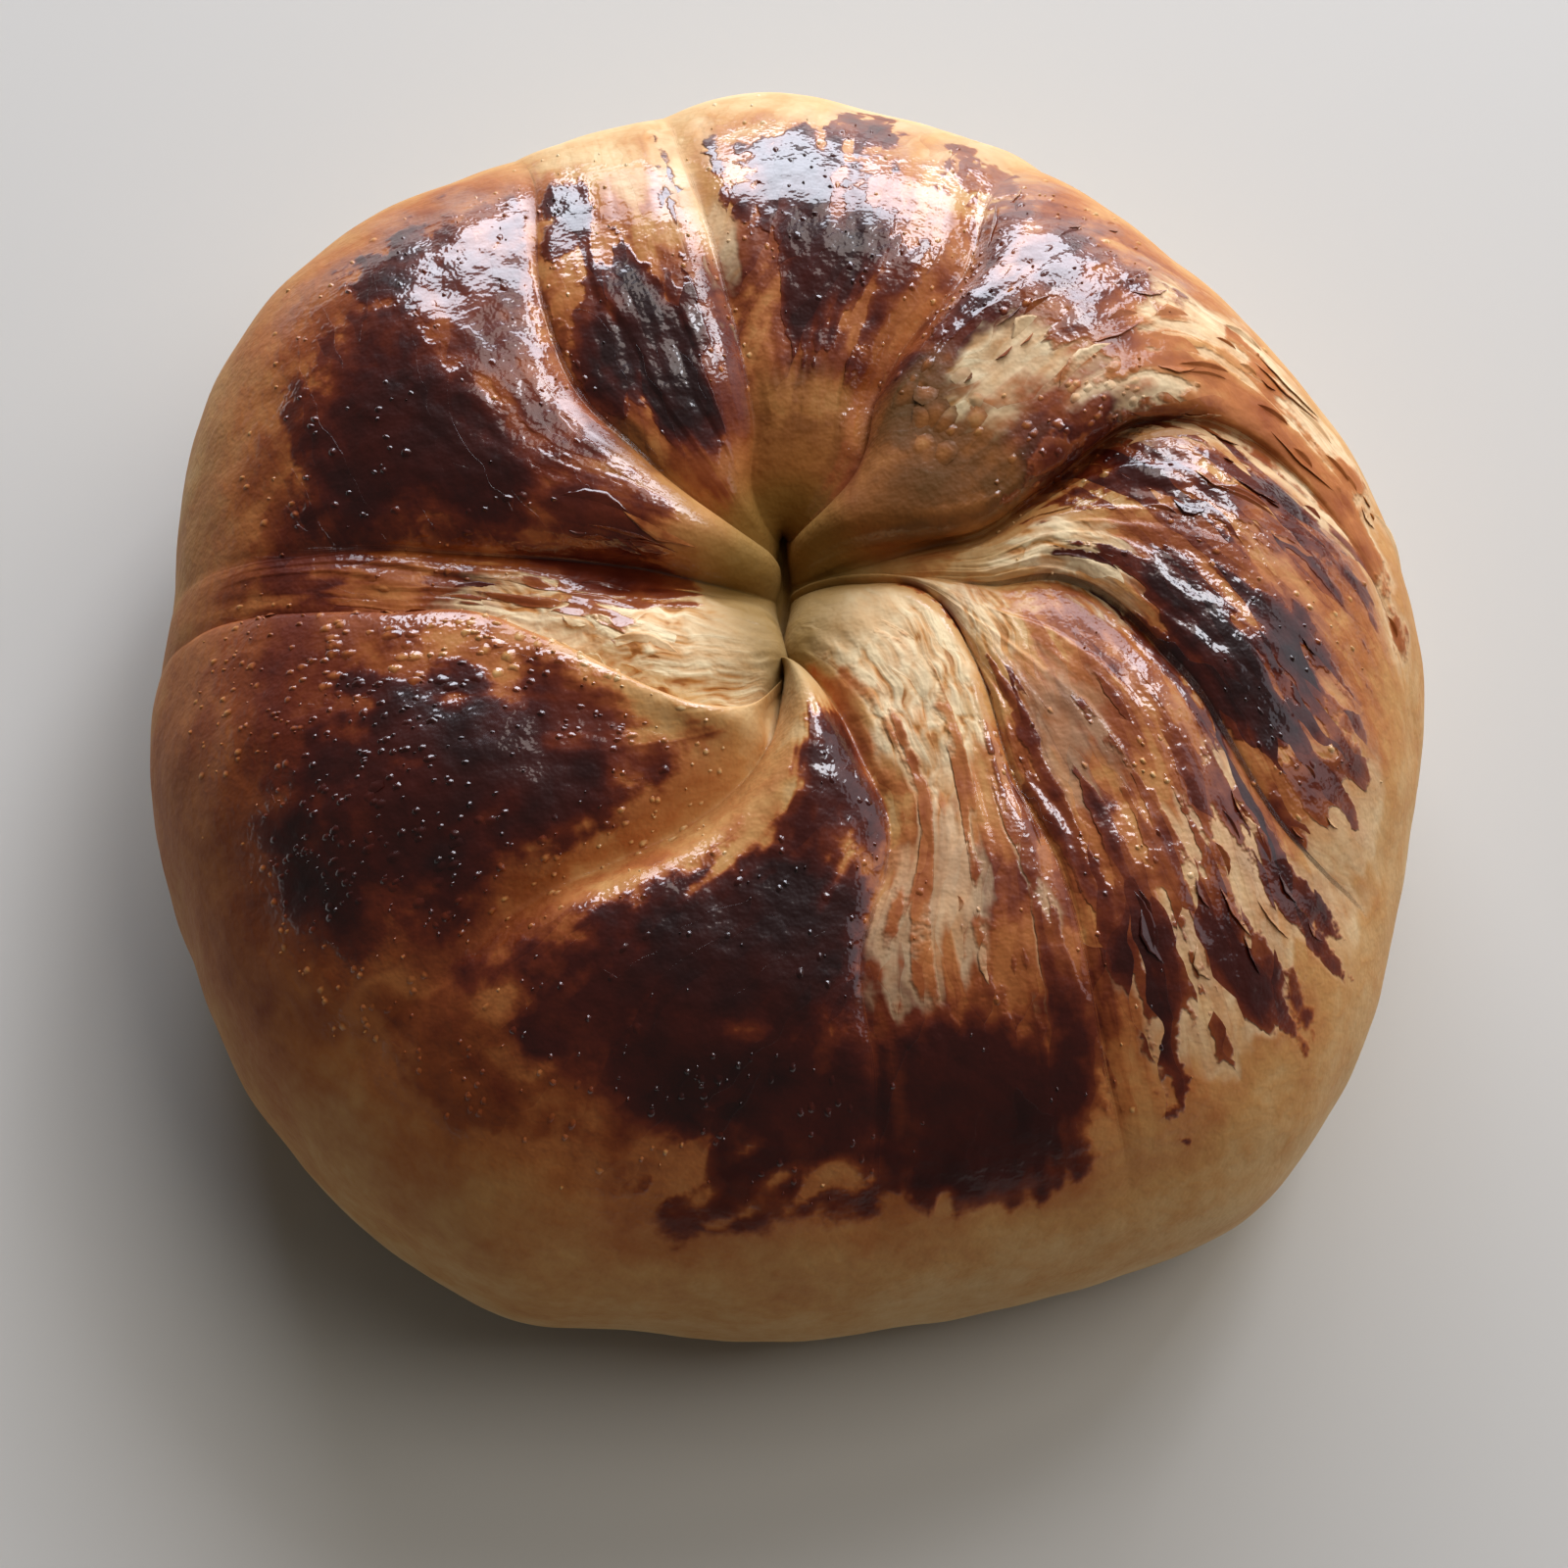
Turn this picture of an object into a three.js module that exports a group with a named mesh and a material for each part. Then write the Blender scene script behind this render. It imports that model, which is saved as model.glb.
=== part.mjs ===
// An acma: a soft ring bun of twisted, buttered dough, whose hole has risen shut to a slit.
// Millimetres, +Z up. The origin is the middle of the footprint, and the side seen first faces -Y.
// The crust is one skin over a grid: columns follow the twisted strands from the slit out over the
// crest and down the side, and rows go round the ring.
import * as THREE from "three";

// Driving dimensions of the ring
const OUTER_RADIUS = 61.5; // at the girth, before the shoulders
const CREST_RADIUS = 31; // from the middle to the top of the ring
const CREST_HEIGHT = 46; // before the rises and the folds
const GIRTH_HEIGHT = 17; // the widest line above the base
const FOOT_INSET = 9; // how far the side rolls in below the girth
const PLUMPNESS = 2.25; // of the section: 2 is an ellipse, more is fuller
const INNER_SWING = 0.4; // the hole's wall is fuller by this in front, and leaner behind

// The slit that is left of the hole, which is deepest at the back
const SLIT_HEIGHT = 27;
const SLIT_SLOPE = 9;
const SLIT_HALF_LENGTH = 10.5;
const SLIT_HALF_WIDTH = 0.8;
const SLIT_OFFSET = -0.5; // towards the front
const SLIT_FLOOR_DROP = 1.5;
const SLIT_CLOSING = 1.5; // how fast the ring's round rows narrow to the slit

// The pucker under the bun, where the ring closes
const PUCKER_RADIUS = 12;
const PUCKER_DEPTH = 6;

// Where the bun is wider or narrower than a round one, and taller or lower: degrees, then millimetres
const SHOULDERS = [
  { azimuth: 43, spread: 24, by: -3.4 },
  { azimuth: 91, spread: 9, by: 2.2 },
  { azimuth: 142, spread: 18, by: 4.0 },
  { azimuth: 174, spread: 12, by: -1.6 },
  { azimuth: 236, spread: 22, by: 3.4 },
  { azimuth: 247, spread: 7, by: 1.2 },
  { azimuth: 313, spread: 19, by: 4.9 },
];
const RISES = [
  { azimuth: 45, spread: 22, by: 1.5 },
  { azimuth: 178, spread: 16, by: -2.5 },
  { azimuth: 225, spread: 25, by: 1.0 },
  { azimuth: 300, spread: 25, by: 0.5 },
];

// Turns round the section, in degrees: 0 at the slit, 90 on the crest, 180 at the girth, 270 at the foot
const CREST_TURN = 90;
const GIRTH_TURN = 180;
const FOOT_TURN = 270;
const SEAM_TURNS = [0, 40, 56, 66, 78, 100, 120, 150, 200];

// The strands of the twist, counter-clockwise from the right. Each gives the azimuth of its first seam
// at SEAM_TURNS, how far it puffs up on the crest and bulges in the hole, how its first and last edges
// lie (over their neighbour above 0, under it below 0), the depth of the valley at its first seam in
// the hole and on the crest, the valley's width, and its layers of flaky dough with the step of each.
const STRANDS = [
  { name: "right folds", seam: [24, 14, 5, 1, 2, -13, -25, -27, -28], columns: 15,
    puff: 1.2, bulge: -0.8, first: 0.7, last: -1.2, valley: [2.2, 1.2], valleyWidth: 2.0, layers: 5, layer: 0.9 },
  { name: "blistered lobe", seam: [44, 21, 17, 17, 22, 27, 20, -3, -12], columns: 14,
    puff: 2.6, bulge: 0.3, first: 1.6, last: 0.5, valley: [2.2, 2.4], valleyWidth: 1.3, layers: 3, layer: 0.4 },
  { name: "back stripes", seam: [72, 52, 58, 64, 65, 62, 65, 63, 60], columns: 12,
    puff: 1.0, bulge: 0, first: -0.4, last: 0.2, valley: [1.0, 1.4], valleyWidth: 2.2, layers: 3, layer: 0.6 },
  { name: "back ridges", seam: [114, 112, 101, 100, 100, 101, 102, 102, 102], columns: 12,
    puff: 0.9, bulge: 0, first: 0.6, last: 0.2, valley: [1.5, 0.6], valleyWidth: 1.5, layers: 4, layer: 0.6 },
  { name: "left shoulder", seam: [138, 138, 138, 137, 136, 128, 120, 117, 116], columns: 15,
    puff: 1.6, bulge: 1.8, first: 0.3, last: 0.7, valley: [2.0, 0.6], valleyWidth: 1.5, layers: 4, layer: 0.5 },
  { name: "left flakes", seam: [168, 170, 170, 171, 172, 173, 174, 174, 174], columns: 12,
    puff: 0.3, bulge: 1.8, first: -0.8, last: -1.2, valley: [0.5, 1.0], valleyWidth: 1.2, layers: 4, layer: 0.7 },
  { name: "left lobe", seam: [264, 264, 240, 206, 191, 185, 182, 180, 180], columns: 17,
    puff: 2.2, bulge: 0, first: 1.8, last: 0.2, valley: [1.2, 1.4], valleyWidth: 1.0, layers: 0, layer: 0 },
  { name: "front lobe", seam: [268, 268, 265, 259, 250, 235, 231, 227, 225], columns: 16,
    puff: 2.2, bulge: 1.0, first: 0.4, last: 0.3, valley: [1.6, 2.2], valleyWidth: 2.8, layers: 2, layer: 0.2 },
  { name: "front flakes", seam: [300, 297, 295, 293, 292, 281, 280, 278, 276], columns: 11,
    puff: 0.8, bulge: 1.5, first: -0.2, last: 0.3, valley: [1.0, 0.5], valleyWidth: 1.4, layers: 4, layer: 0.6 },
  { name: "front right", seam: [362, 362, 357, 339, 322, 311, 304, 300, 298], columns: 14,
    puff: 1.0, bulge: 1.6, first: 0.2, last: -0.8, valley: [1.2, 0.5], valleyWidth: 1.0, layers: 5, layer: 0.7 },
];

// How much of a fold, a layer and a bulge is left at a turn
const FOLD = { turns: [0, 12, 42, 105, 140, 185], shares: [0, 0.08, 1, 1, 0.4, 0] };
const LAYER = { turns: [0, 30, 60, 120, 150, 180], shares: [0, 0.15, 1, 1, 0.55, 0] };
const BULGE = { turns: [0, 8, 25, 45, 75], shares: [0, 0.3, 1, 1, 0] };
const VALLEY_TURNS = [35, 85]; // between these a valley goes from its depth in the hole to that on the crest
const EDGE_WIDTH = 4.5; // of a strand's rolled edge
const EDGE_INSET = 1.2;
const DOME_POWER = 0.7; // under 1 makes a strand's cross section boxier
const LAYER_WANDER = 0.35; // of a layer's width
const LAYER_WANDER_PACE = 3.1; // per degree of turn

// Grid rows, as turns apart, and across the base as shares of the foot's radius
const TOP_ROW_STEP = 6;
const SIDE_ROW_STEP = 15;
const BASE_ROW_SHARES = [0.55, 0.2, 0.1];
const NORMAL_STEP = 0.5;

const CRUST_COLOUR = 0xb9763a;

const radians = THREE.MathUtils.degToRad;
const { clamp, lerp, smoothstep, euclideanModulo } = THREE.MathUtils;
const wrap = (degrees) => euclideanModulo(degrees + 180, 360) - 180;

// What the bumps in a list add up to at an azimuth
function bumps(list, azimuth) {
  return list.reduce((sum, b) => sum + b.by * Math.exp(-((wrap(azimuth - b.azimuth) / b.spread) ** 2)), 0);
}

// Which span of rising stations holds x, and how far along it x is
function span(x, stations) {
  let i = 0;
  while (i < stations.length - 2 && x > stations[i + 1]) i++;
  return [i, clamp((x - stations[i]) / (stations[i + 1] - stations[i]), 0, 1)];
}

function shareAt(turn, profile) {
  const [i, t] = span(turn, profile.turns);
  return lerp(profile.shares[i], profile.shares[i + 1], t);
}

// A seam's azimuth: a smooth curve through its stations
function seamAzimuth(turn, seam) {
  const last = SEAM_TURNS.length - 1;
  const slope = (k) => {
    const a = Math.max(k - 1, 0);
    const b = Math.min(k + 1, last);
    return (seam[b] - seam[a]) / (SEAM_TURNS[b] - SEAM_TURNS[a]);
  };
  const [i, t] = span(turn, SEAM_TURNS);
  const length = SEAM_TURNS[i + 1] - SEAM_TURNS[i];
  const bend = slope(i) * t * (1 - t) ** 2 - slope(i + 1) * t * t * (1 - t);
  return lerp(seam[i], seam[i + 1], t * t * (3 - 2 * t)) + length * bend;
}

// The plain ring, without its twist
function ringPoint(azimuth, turn) {
  const around = radians(azimuth);
  const across = Math.abs(Math.cos(radians(turn)));
  const up = Math.abs(Math.sin(radians(turn)));
  const outer = OUTER_RADIUS + bumps(SHOULDERS, azimuth);
  const crest = CREST_HEIGHT + bumps(RISES, azimuth);
  const inside = turn < CREST_TURN;
  const power = inside ? PLUMPNESS - INNER_SWING * Math.sin(around) : PLUMPNESS;
  const reach = (across ** power + up ** power) ** (1 / power);
  let radius;
  let height;
  if (inside) {
    const slit = SLIT_HEIGHT - SLIT_SLOPE * Math.sin(around);
    radius = CREST_RADIUS * (1 - across / reach);
    height = slit + ((crest - slit) * up) / reach;
  } else if (turn < GIRTH_TURN) {
    radius = CREST_RADIUS + ((outer - CREST_RADIUS) * across) / reach;
    height = GIRTH_HEIGHT + ((crest - GIRTH_HEIGHT) * up) / reach;
  } else {
    radius = outer - FOOT_INSET * (1 - across);
    height = GIRTH_HEIGHT * (1 - up);
  }
  const closing = Math.max(1 - turn / CREST_TURN, 0) ** SLIT_CLOSING;
  return new THREE.Vector3(
    (radius + closing * SLIT_HALF_WIDTH) * Math.cos(around),
    (radius + closing * SLIT_HALF_LENGTH) * Math.sin(around) + closing * SLIT_OFFSET,
    height,
  );
}

function ringNormal(azimuth, turn) {
  const low = Math.max(turn - NORMAL_STEP, 0);
  const alongSection = ringPoint(azimuth, turn + NORMAL_STEP).sub(ringPoint(azimuth, low));
  const alongRing = ringPoint(azimuth + NORMAL_STEP, turn).sub(ringPoint(azimuth - NORMAL_STEP, turn));
  return alongSection.cross(alongRing).normalize();
}

// Height of the twist over the plain ring, at a share of the way across a strand
function foldHeight(strand, next, share, width, turn) {
  const dome = (4 * share * (1 - share)) ** DOME_POWER;
  const fromFirst = share * width;
  const fromLast = (1 - share) * width;
  const edge = (distance) => Math.exp(-(((distance - EDGE_INSET) / EDGE_WIDTH) ** 2));
  const outward = smoothstep(turn, ...VALLEY_TURNS);
  const valley = (side, distance) =>
    lerp(...side.valley, outward) * Math.exp(-((distance / side.valleyWidth) ** 2));
  const fold =
    strand.puff * dome +
    strand.first * edge(fromFirst) +
    strand.last * edge(fromLast) -
    valley(strand, fromFirst) -
    valley(next, fromLast);
  const wander = LAYER_WANDER * Math.sin(radians(turn * LAYER_WANDER_PACE) + strand.columns);
  const tooth = euclideanModulo(share * strand.layers + wander, 1) - 0.5;
  return (
    fold * shareAt(turn, FOLD) +
    strand.bulge * dome * shareAt(turn, BULGE) +
    strand.layer * tooth * shareAt(turn, LAYER)
  );
}

function crustPoint(index, column, turn) {
  const strand = STRANDS[index];
  const atEnd = index + 1 === STRANDS.length;
  const next = STRANDS[atEnd ? 0 : index + 1];
  const first = seamAzimuth(turn, strand.seam);
  const last = seamAzimuth(turn, next.seam) + (atEnd ? 360 : 0);
  const share = column / strand.columns;
  const azimuth = lerp(first, last, share);
  const point = ringPoint(azimuth, turn);
  const width = radians(last - first) * Math.hypot(point.x, point.y);
  const height = foldHeight(strand, next, share, width, turn);
  return point.addScaledVector(ringNormal(azimuth, turn), height);
}

// Points under the bun: the flat base, and the pucker in its middle
function basePoint(foot, share) {
  const spot = new THREE.Vector3(foot.x * share, foot.y * share, 0);
  const inward = 1 - Math.min(spot.length() / PUCKER_RADIUS, 1) ** 2;
  return spot.setZ(PUCKER_DEPTH * inward ** 2);
}

// Rows from the slit to the foot, then across the base, then the two end points
function crustGeometry() {
  const turns = [];
  for (let turn = 0; turn < GIRTH_TURN; turn += TOP_ROW_STEP) turns.push(turn);
  for (let turn = GIRTH_TURN; turn <= FOOT_TURN; turn += SIDE_ROW_STEP) turns.push(turn);
  const rows = turns.map((turn) =>
    STRANDS.flatMap((strand, index) =>
      Array.from({ length: strand.columns }, (_, column) => crustPoint(index, column, turn)),
    ),
  );
  const foot = rows.at(-1);
  for (const share of BASE_ROW_SHARES) rows.push(foot.map((point) => basePoint(point, share)));
  const columns = foot.length;
  const points = rows.flat();
  const slitFloor = points.push(new THREE.Vector3(0, SLIT_OFFSET, SLIT_HEIGHT - SLIT_FLOOR_DROP)) - 1;
  const puckerTop = points.push(new THREE.Vector3(0, 0, PUCKER_DEPTH)) - 1;
  const at = (row, column) => row * columns + (column % columns);
  const faces = [];
  for (let column = 0; column < columns; column++) {
    faces.push(slitFloor, at(0, column), at(0, column + 1));
    for (let row = 0; row < rows.length - 1; row++) {
      faces.push(at(row, column), at(row + 1, column), at(row + 1, column + 1));
      faces.push(at(row, column), at(row + 1, column + 1), at(row, column + 1));
    }
    faces.push(at(rows.length - 1, column), puckerTop, at(rows.length - 1, column + 1));
  }
  const geometry = new THREE.BufferGeometry().setFromPoints(points);
  geometry.setIndex(faces);
  geometry.computeBoundingBox();
  const middle = geometry.boundingBox.getCenter(new THREE.Vector3());
  geometry.translate(-middle.x, -middle.y, 0);
  geometry.computeVertexNormals();
  return geometry;
}

const crust = new THREE.MeshStandardMaterial({ color: CRUST_COLOUR, roughness: 0.45, metalness: 0 });
const bun = new THREE.Mesh(crustGeometry(), crust);
bun.name = "bun";

const acma = new THREE.Group();
acma.add(bun);

export default acma;
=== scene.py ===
import math
from dataclasses import dataclass

import bpy
import numpy as np
from bpy.props import FloatProperty, FloatVectorProperty, PointerProperty
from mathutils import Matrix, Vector


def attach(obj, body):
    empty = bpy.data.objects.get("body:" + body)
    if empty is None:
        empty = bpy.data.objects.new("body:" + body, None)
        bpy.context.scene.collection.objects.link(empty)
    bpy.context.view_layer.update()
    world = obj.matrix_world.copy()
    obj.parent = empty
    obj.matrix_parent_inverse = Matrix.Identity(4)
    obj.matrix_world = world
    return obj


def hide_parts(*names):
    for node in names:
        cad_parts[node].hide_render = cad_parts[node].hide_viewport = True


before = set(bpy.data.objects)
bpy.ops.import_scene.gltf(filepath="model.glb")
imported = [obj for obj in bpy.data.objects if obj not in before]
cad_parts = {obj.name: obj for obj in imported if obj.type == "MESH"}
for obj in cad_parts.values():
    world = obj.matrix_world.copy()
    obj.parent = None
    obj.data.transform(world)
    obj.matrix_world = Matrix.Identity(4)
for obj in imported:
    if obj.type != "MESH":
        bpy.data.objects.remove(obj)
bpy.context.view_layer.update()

bl_info = {
    "name": "Acma ring bun",
    "version": (1, 0, 0),
    "blender": (4, 5, 0),
    "location": "View3D > Sidebar > Acma",
    "description": "Builds a twisted, egg-washed ring bun with its blisters, flakes and studio",
    "category": "Add Mesh",
}

MM = 0.001


def linear(hex_colour):
    """An sRGB hex colour as linear red, green, blue and alpha."""
    parts = [int(hex_colour[i:i + 2], 16) / 255 for i in (1, 3, 5)]
    return (*[c / 12.92 if c <= 0.04045 else ((c + 0.055) / 1.055) ** 2.4 for c in parts], 1.0)


def length(name, millimetres, description):
    size = millimetres * MM
    return FloatProperty(name=name, description=description, default=size, min=0.0, unit="LENGTH")


def lengths(name, millimetres, description):
    sizes = tuple(side * MM for side in millimetres)
    return FloatVectorProperty(name=name, description=description, default=sizes, min=0.0, unit="LENGTH")


def power(name, watts, description):
    return FloatProperty(name=name, description=description, default=watts, min=0.0, unit="POWER")


def colour(name, hex_colour, description):
    tone = linear(hex_colour)
    return FloatVectorProperty(name=name, description=description, default=tone, size=4, min=0.0, max=1.0,
                               subtype="COLOR")


class AcmaSizes(bpy.types.PropertyGroup):
    """Sizes of the bun, and of what lies on its crust"""

    outer_radius: length("Outer radius", 61.5, "From the middle of the bun to its side")
    crest_radius: length("Crest radius", 31.0, "From the middle of the bun to the crest of the ring")
    crest_height: length("Crest height", 46.0, "Height of the ring's crest, under the rise of the strands")
    girth_height: length("Girth height", 17.0, "Height at which the bun is widest")
    slit_height: length("Slit height", 37.5, "Height of the bottom of the slit that is left of the hole")
    crumple: length("Crumples", 0.22, "Height of the crumples of torn dough")
    blister_density: FloatProperty(name="Blisters", default=5e5, min=0.0,
                                   description="Blisters on a square metre of blistered crust")
    blister_smallest: lengths("Smallest blister", (0.4, 0.35, 0.18), "Half its sides, and its height")
    blister_largest: lengths("Largest blister", (0.65, 0.5, 0.42), "Half its sides, and its height")
    flake_density: FloatProperty(name="Flakes", default=6e4, min=0.0,
                                 description="Flakes on a square metre of the flakiest crust")
    flake_smallest: lengths("Smallest flake", (3.0, 0.5, 1.0), "Its length and width")
    flake_largest: lengths("Largest flake", (11.0, 1.5, 1.0), "Its length and width")
    flake_lift: length("Flake lift", 0.5, "How far a flake stands off the crust")


class AcmaColours(bpy.types.PropertyGroup):
    """Colours of the crust, the torn dough and the floor"""

    cream: colour("Cream", "#eedcb8", "Crust that hardly baked")
    straw: colour("Straw", "#dfbc87", "Crust low on the sides")
    gold: colour("Gold", "#cd9659", "Crust on the sides")
    amber: colour("Amber", "#b66e39", "Crust on the crest")
    russet: colour("Russet", "#904820", "Crust under a thin wash")
    mahogany: colour("Mahogany", "#662610", "Thin glaze")
    umber: colour("Umber", "#42120a", "Glaze")
    black: colour("Black", "#220908", "Thick glaze")
    dough: colour("Dough", "#f8e3b8", "Torn dough")
    # Darker tone of torn dough: partly toasting, partly painted shade in the gaps between raised skin
    toasted_and_shaded: colour("Toasted and shaded dough", "#cc8a42", "Torn dough that browned")
    flake_edge: colour("Flake edge", "#96572a", "Thin edges of the layers")
    # Painted shade: an olive tone for the crust deep in the hole and on slopes turned from the window
    painted_shade: colour("Painted shade", "#86662c", "Dough deep in the hole")
    floor: colour("Floor", "#cfcdc8", "Floor of the studio")


class AcmaStage(bpy.types.PropertyGroup):
    """Lights and camera of the studio"""

    window: power("Window", 11.2, "Power of the low window behind the bun")
    skylight: power("Skylight", 6.2, "Power of the small light high behind the bun")
    ceiling: power("Ceiling", 7.3, "Power of the soft light overhead")
    wall: power("Wall", 1.7, "Power of the pale wall on the right")
    back_wall: power("Back wall", 1.1, "Power of the pale wall high behind the bun")
    camera_rise: FloatProperty(name="Camera rise", description="Angle of the camera over the floor",
                               default=math.radians(68), subtype="ANGLE")
    camera_distance: length("Camera distance", 360.0, "From the camera to the bun")
    frame_width: length("Frame width", 152.0, "Width of the picture at the bun")


# Section of the ring, in millimetres
FOOT_INSET = 9.0
PLUMPNESS = 2.25
INNER_SWING = 0.4
SLIT_SLOPE = 3.0
SLIT_HALF_LENGTH = 10.5
SLIT_HALF_WIDTH = 0.7
SLIT_OFFSET = -0.5
SLIT_FLOOR_DROP = 0.5
SLIT_CLOSING = 1.5
PUCKER_RADIUS = 12.0
PUCKER_DEPTH = 6.0
BASE_PARTS = (0.75, 0.5, 0.3, 0.2, 0.12, 0.06)  # of the foot's reach, for the rows of the base
CREST_TURN = 90.0  # degrees round the section, from 0 in the slit that is left of the hole
GIRTH_TURN = 180.0
FOOT_TURN = 270.0
TOP_ROWS, SIDE_ROWS = 126, 16  # of the crust's grid, above and below the girth
FINE_STATIONS = 721  # at which the section is measured for the rows

# Where the bun is fuller or flatter than a round one: azimuth and spread in degrees, then millimetres
SHOULDERS = ((43, 24, -3.4), (91, 9, 2.2), (142, 18, 4.0), (174, 12, -1.6), (236, 22, 3.4), (247, 7, 1.2),
             (313, 19, 4.9))
RISES = ((45, 22, 1.5), (178, 16, -2.5), (225, 25, 1.0), (300, 25, 0.5))

SEAM_TURNS = np.array([0, 40, 56, 66, 78, 100, 120, 150, 200], float)
BAKE_TURNS = (30, 60, 90, 120, 150, 200)


@dataclass(frozen=True)
class Strand:
    """One strand of the twist. Heights are in millimetres over the plain ring."""

    columns: int  # of the crust's grid
    seam: tuple  # azimuth of its first seam at SEAM_TURNS
    bake: tuple  # browning at BAKE_TURNS, from 0, cream, to 1, black, with painted shade and sheen folded in where a strand's comment says
    puff: float  # rise of its middle
    first: float  # how its first edge lies: over the neighbour above 0, under it below 0
    last: float  # how its last edge lies
    valley: tuple  # depth of its first seam at VALLEY_TURNS
    valley_width: float
    layers: int  # flaky layers across it
    layer: float  # their step
    wrinkle: float  # height of its fine wrinkles
    layered: float  # how far its patterns are drawn out along it
    blistered: float  # how many blisters it has, as a share of the usual
    swell: float = 1.0  # how large they are, as a share of the usual
    bulge: float = 0.0  # more rise of its middle inside the hole
    curl: float = 0.0  # how far its first edge hangs over the neighbour


STRANDS = (
    # Right folds
    Strand(
        seam=(18, 12, 5, 1, 2, -13, -25, -27, -28), bake=(.22, .32, .46, .48, .32, .20),
        puff=1.2, bulge=-0.8, first=0.7, last=-1.2, valley=(0.6, 0.5, 0.2), valley_width=3.0,
        columns=70, layers=6, layer=0.6, wrinkle=0.14, layered=1.0, blistered=0.25),
    # Blistered lobe. Its browning on the inner slope and crest is darkened as painted shade, for they face
    # away from the window
    Strand(
        seam=(26, 18, 17, 17, 22, 27, 20, -3, -12), bake=(.46, .67, .62, .48, .30, .20),
        puff=2.6, bulge=0.3, first=1.6, last=0.5, valley=(0.8, 2.4, 0.2), valley_width=1.3, curl=1.6,
        columns=68, layers=3, layer=0.35, wrinkle=0.08, layered=0.55, blistered=0.6, swell=1.3),
    # Back stripes. Its browning is paler low on the outer slope: a painted sheen of the window behind
    Strand(
        seam=(72, 52, 58, 64, 65, 62, 65, 63, 60), bake=(.44, .52, .56, .30, .12, .18),
        puff=1.0, first=-0.4, last=0.2, valley=(0.4, 1.4, 0.8), valley_width=2.2,
        columns=58, layers=3, layer=0.35, wrinkle=0.08, layered=0.55, blistered=0.35),
    # Back ridges. Its browning is paler low on the outer slope: a painted sheen of the window behind
    Strand(
        seam=(114, 112, 101, 100, 100, 101, 102, 102, 102), bake=(.40, .52, .54, .32, .13, .18),
        puff=0.9, first=0.4, last=0.2, valley=(0.3, 0.6, 0.5), valley_width=1.8, curl=0.2,
        columns=54, layers=3, layer=0.35, wrinkle=0.08, layered=0.7, blistered=0.35),
    # Left shoulder
    Strand(
        seam=(138, 138, 138, 137, 136, 128, 120, 117, 116), bake=(.26, .52, .58, .52, .36, .22),
        puff=1.6, bulge=1.8, first=0.0, last=0.3, valley=(0.7, 0.3, 0.2), valley_width=1.5, curl=0.1,
        columns=70, layers=4, layer=0.04, wrinkle=0.12, layered=0.3, blistered=0.25, swell=1.2),
    # Left flakes
    Strand(
        seam=(168, 170, 170, 171, 172, 173, 174, 174, 174), bake=(.10, .20, .64, .62, .44, .24),
        puff=0.6, bulge=1.8, first=-0.3, last=-1.2, valley=(0.4, 0.5, 0.2), valley_width=1.2, curl=0.2,
        columns=54, layers=5, layer=0.5, wrinkle=0.08, layered=0.6, blistered=0.25),
    # Left lobe. Its darker browning on the left-facing side is partly real and partly painted shade
    Strand(
        seam=(264, 264, 248, 213, 194, 186, 182, 180, 180), bake=(.24, .30, .42, .64, .50, .27),
        puff=2.2, first=1.8, last=0.2, valley=(1.2, 1.4, 0.4), valley_width=1.0, curl=2.0,
        columns=76, layers=0, layer=0.0, wrinkle=0.03, layered=0.1, blistered=1.3, swell=1.1),
    # Front lobe
    Strand(
        seam=(268, 268, 265, 259, 250, 235, 231, 227, 225), bake=(.18, .24, .38, .52, .40, .22),
        puff=2.2, bulge=1.0, first=0.4, last=0.0, valley=(1.6, 2.2, 1.0), valley_width=2.8,
        columns=74, layers=2, layer=0.2, wrinkle=0.05, layered=0.3, blistered=0.4, swell=1.1),
    # Front flakes. Its darker browning over the outer crest is partly real and partly painted shade
    Strand(
        seam=(300, 297, 295, 293, 292, 281, 280, 278, 276), bake=(.16, .28, .52, .58, .36, .20),
        puff=0.8, bulge=1.5, first=0.0, last=0.3, valley=(0.6, 0.2, 0.1), valley_width=1.4,
        columns=54, layers=3, layer=0.3, wrinkle=0.06, layered=0.45, blistered=0.15),
    # Front right
    Strand(
        seam=(372, 367, 358, 339, 322, 311, 304, 300, 298), bake=(.22, .36, .50, .46, .30, .20),
        puff=1.0, bulge=0.6, first=0.2, last=-0.6, valley=(0.6, 0.3, 0.1), valley_width=1.0, curl=0.4,
        columns=66, layers=3, layer=0.4, wrinkle=0.08, layered=0.9, blistered=0.2),
)
STRAND_WIDTH = 25.0  # of a usual strand on the crest

# Shares that are left of a fold, an edge, a layer and an inner bulge: the turns, then the shares at them
FOLD_SHARES = (0, 12, 42, 100, 128, 160, 190), (0, 0.08, 1, 1, 0.5, 0.15, 0)
EDGE_SHARES = (0, 12, 42, 62, 90, 118, 145), (0, 0.08, 0.5, 1, 1, 0.4, 0)
LAYER_SHARES = (0, 48, 70, 92, 118, 140), (0, 0.15, 1, 1, 0.25, 0)
BULGE_SHARES = (0, 8, 25, 45, 75), (0, 0.3, 1, 1, 0)
VALLEY_TURNS = (35, 85, 125)
EDGE_WIDTH = 4.5
EDGE_INSET = 1.2
DOME_POWER = 0.7
CURL_INSET = 1.3


@dataclass(frozen=True)
class Patch:
    """An area of the crust, drawn out along the strands."""

    strand: float  # its middle: the strand's number and the share across it
    turn: float
    half_width: float  # as a share of a strand
    half_length: float  # in degrees of turn
    broken: float  # how far streaks break it up
    strength: float  # how dark, dry, clear, shaded, large or dense it is, as its table says
    fade: float = 0.35  # width of its edge, in millimetres
    ragged: float = 1.0  # how ragged its outline is


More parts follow.
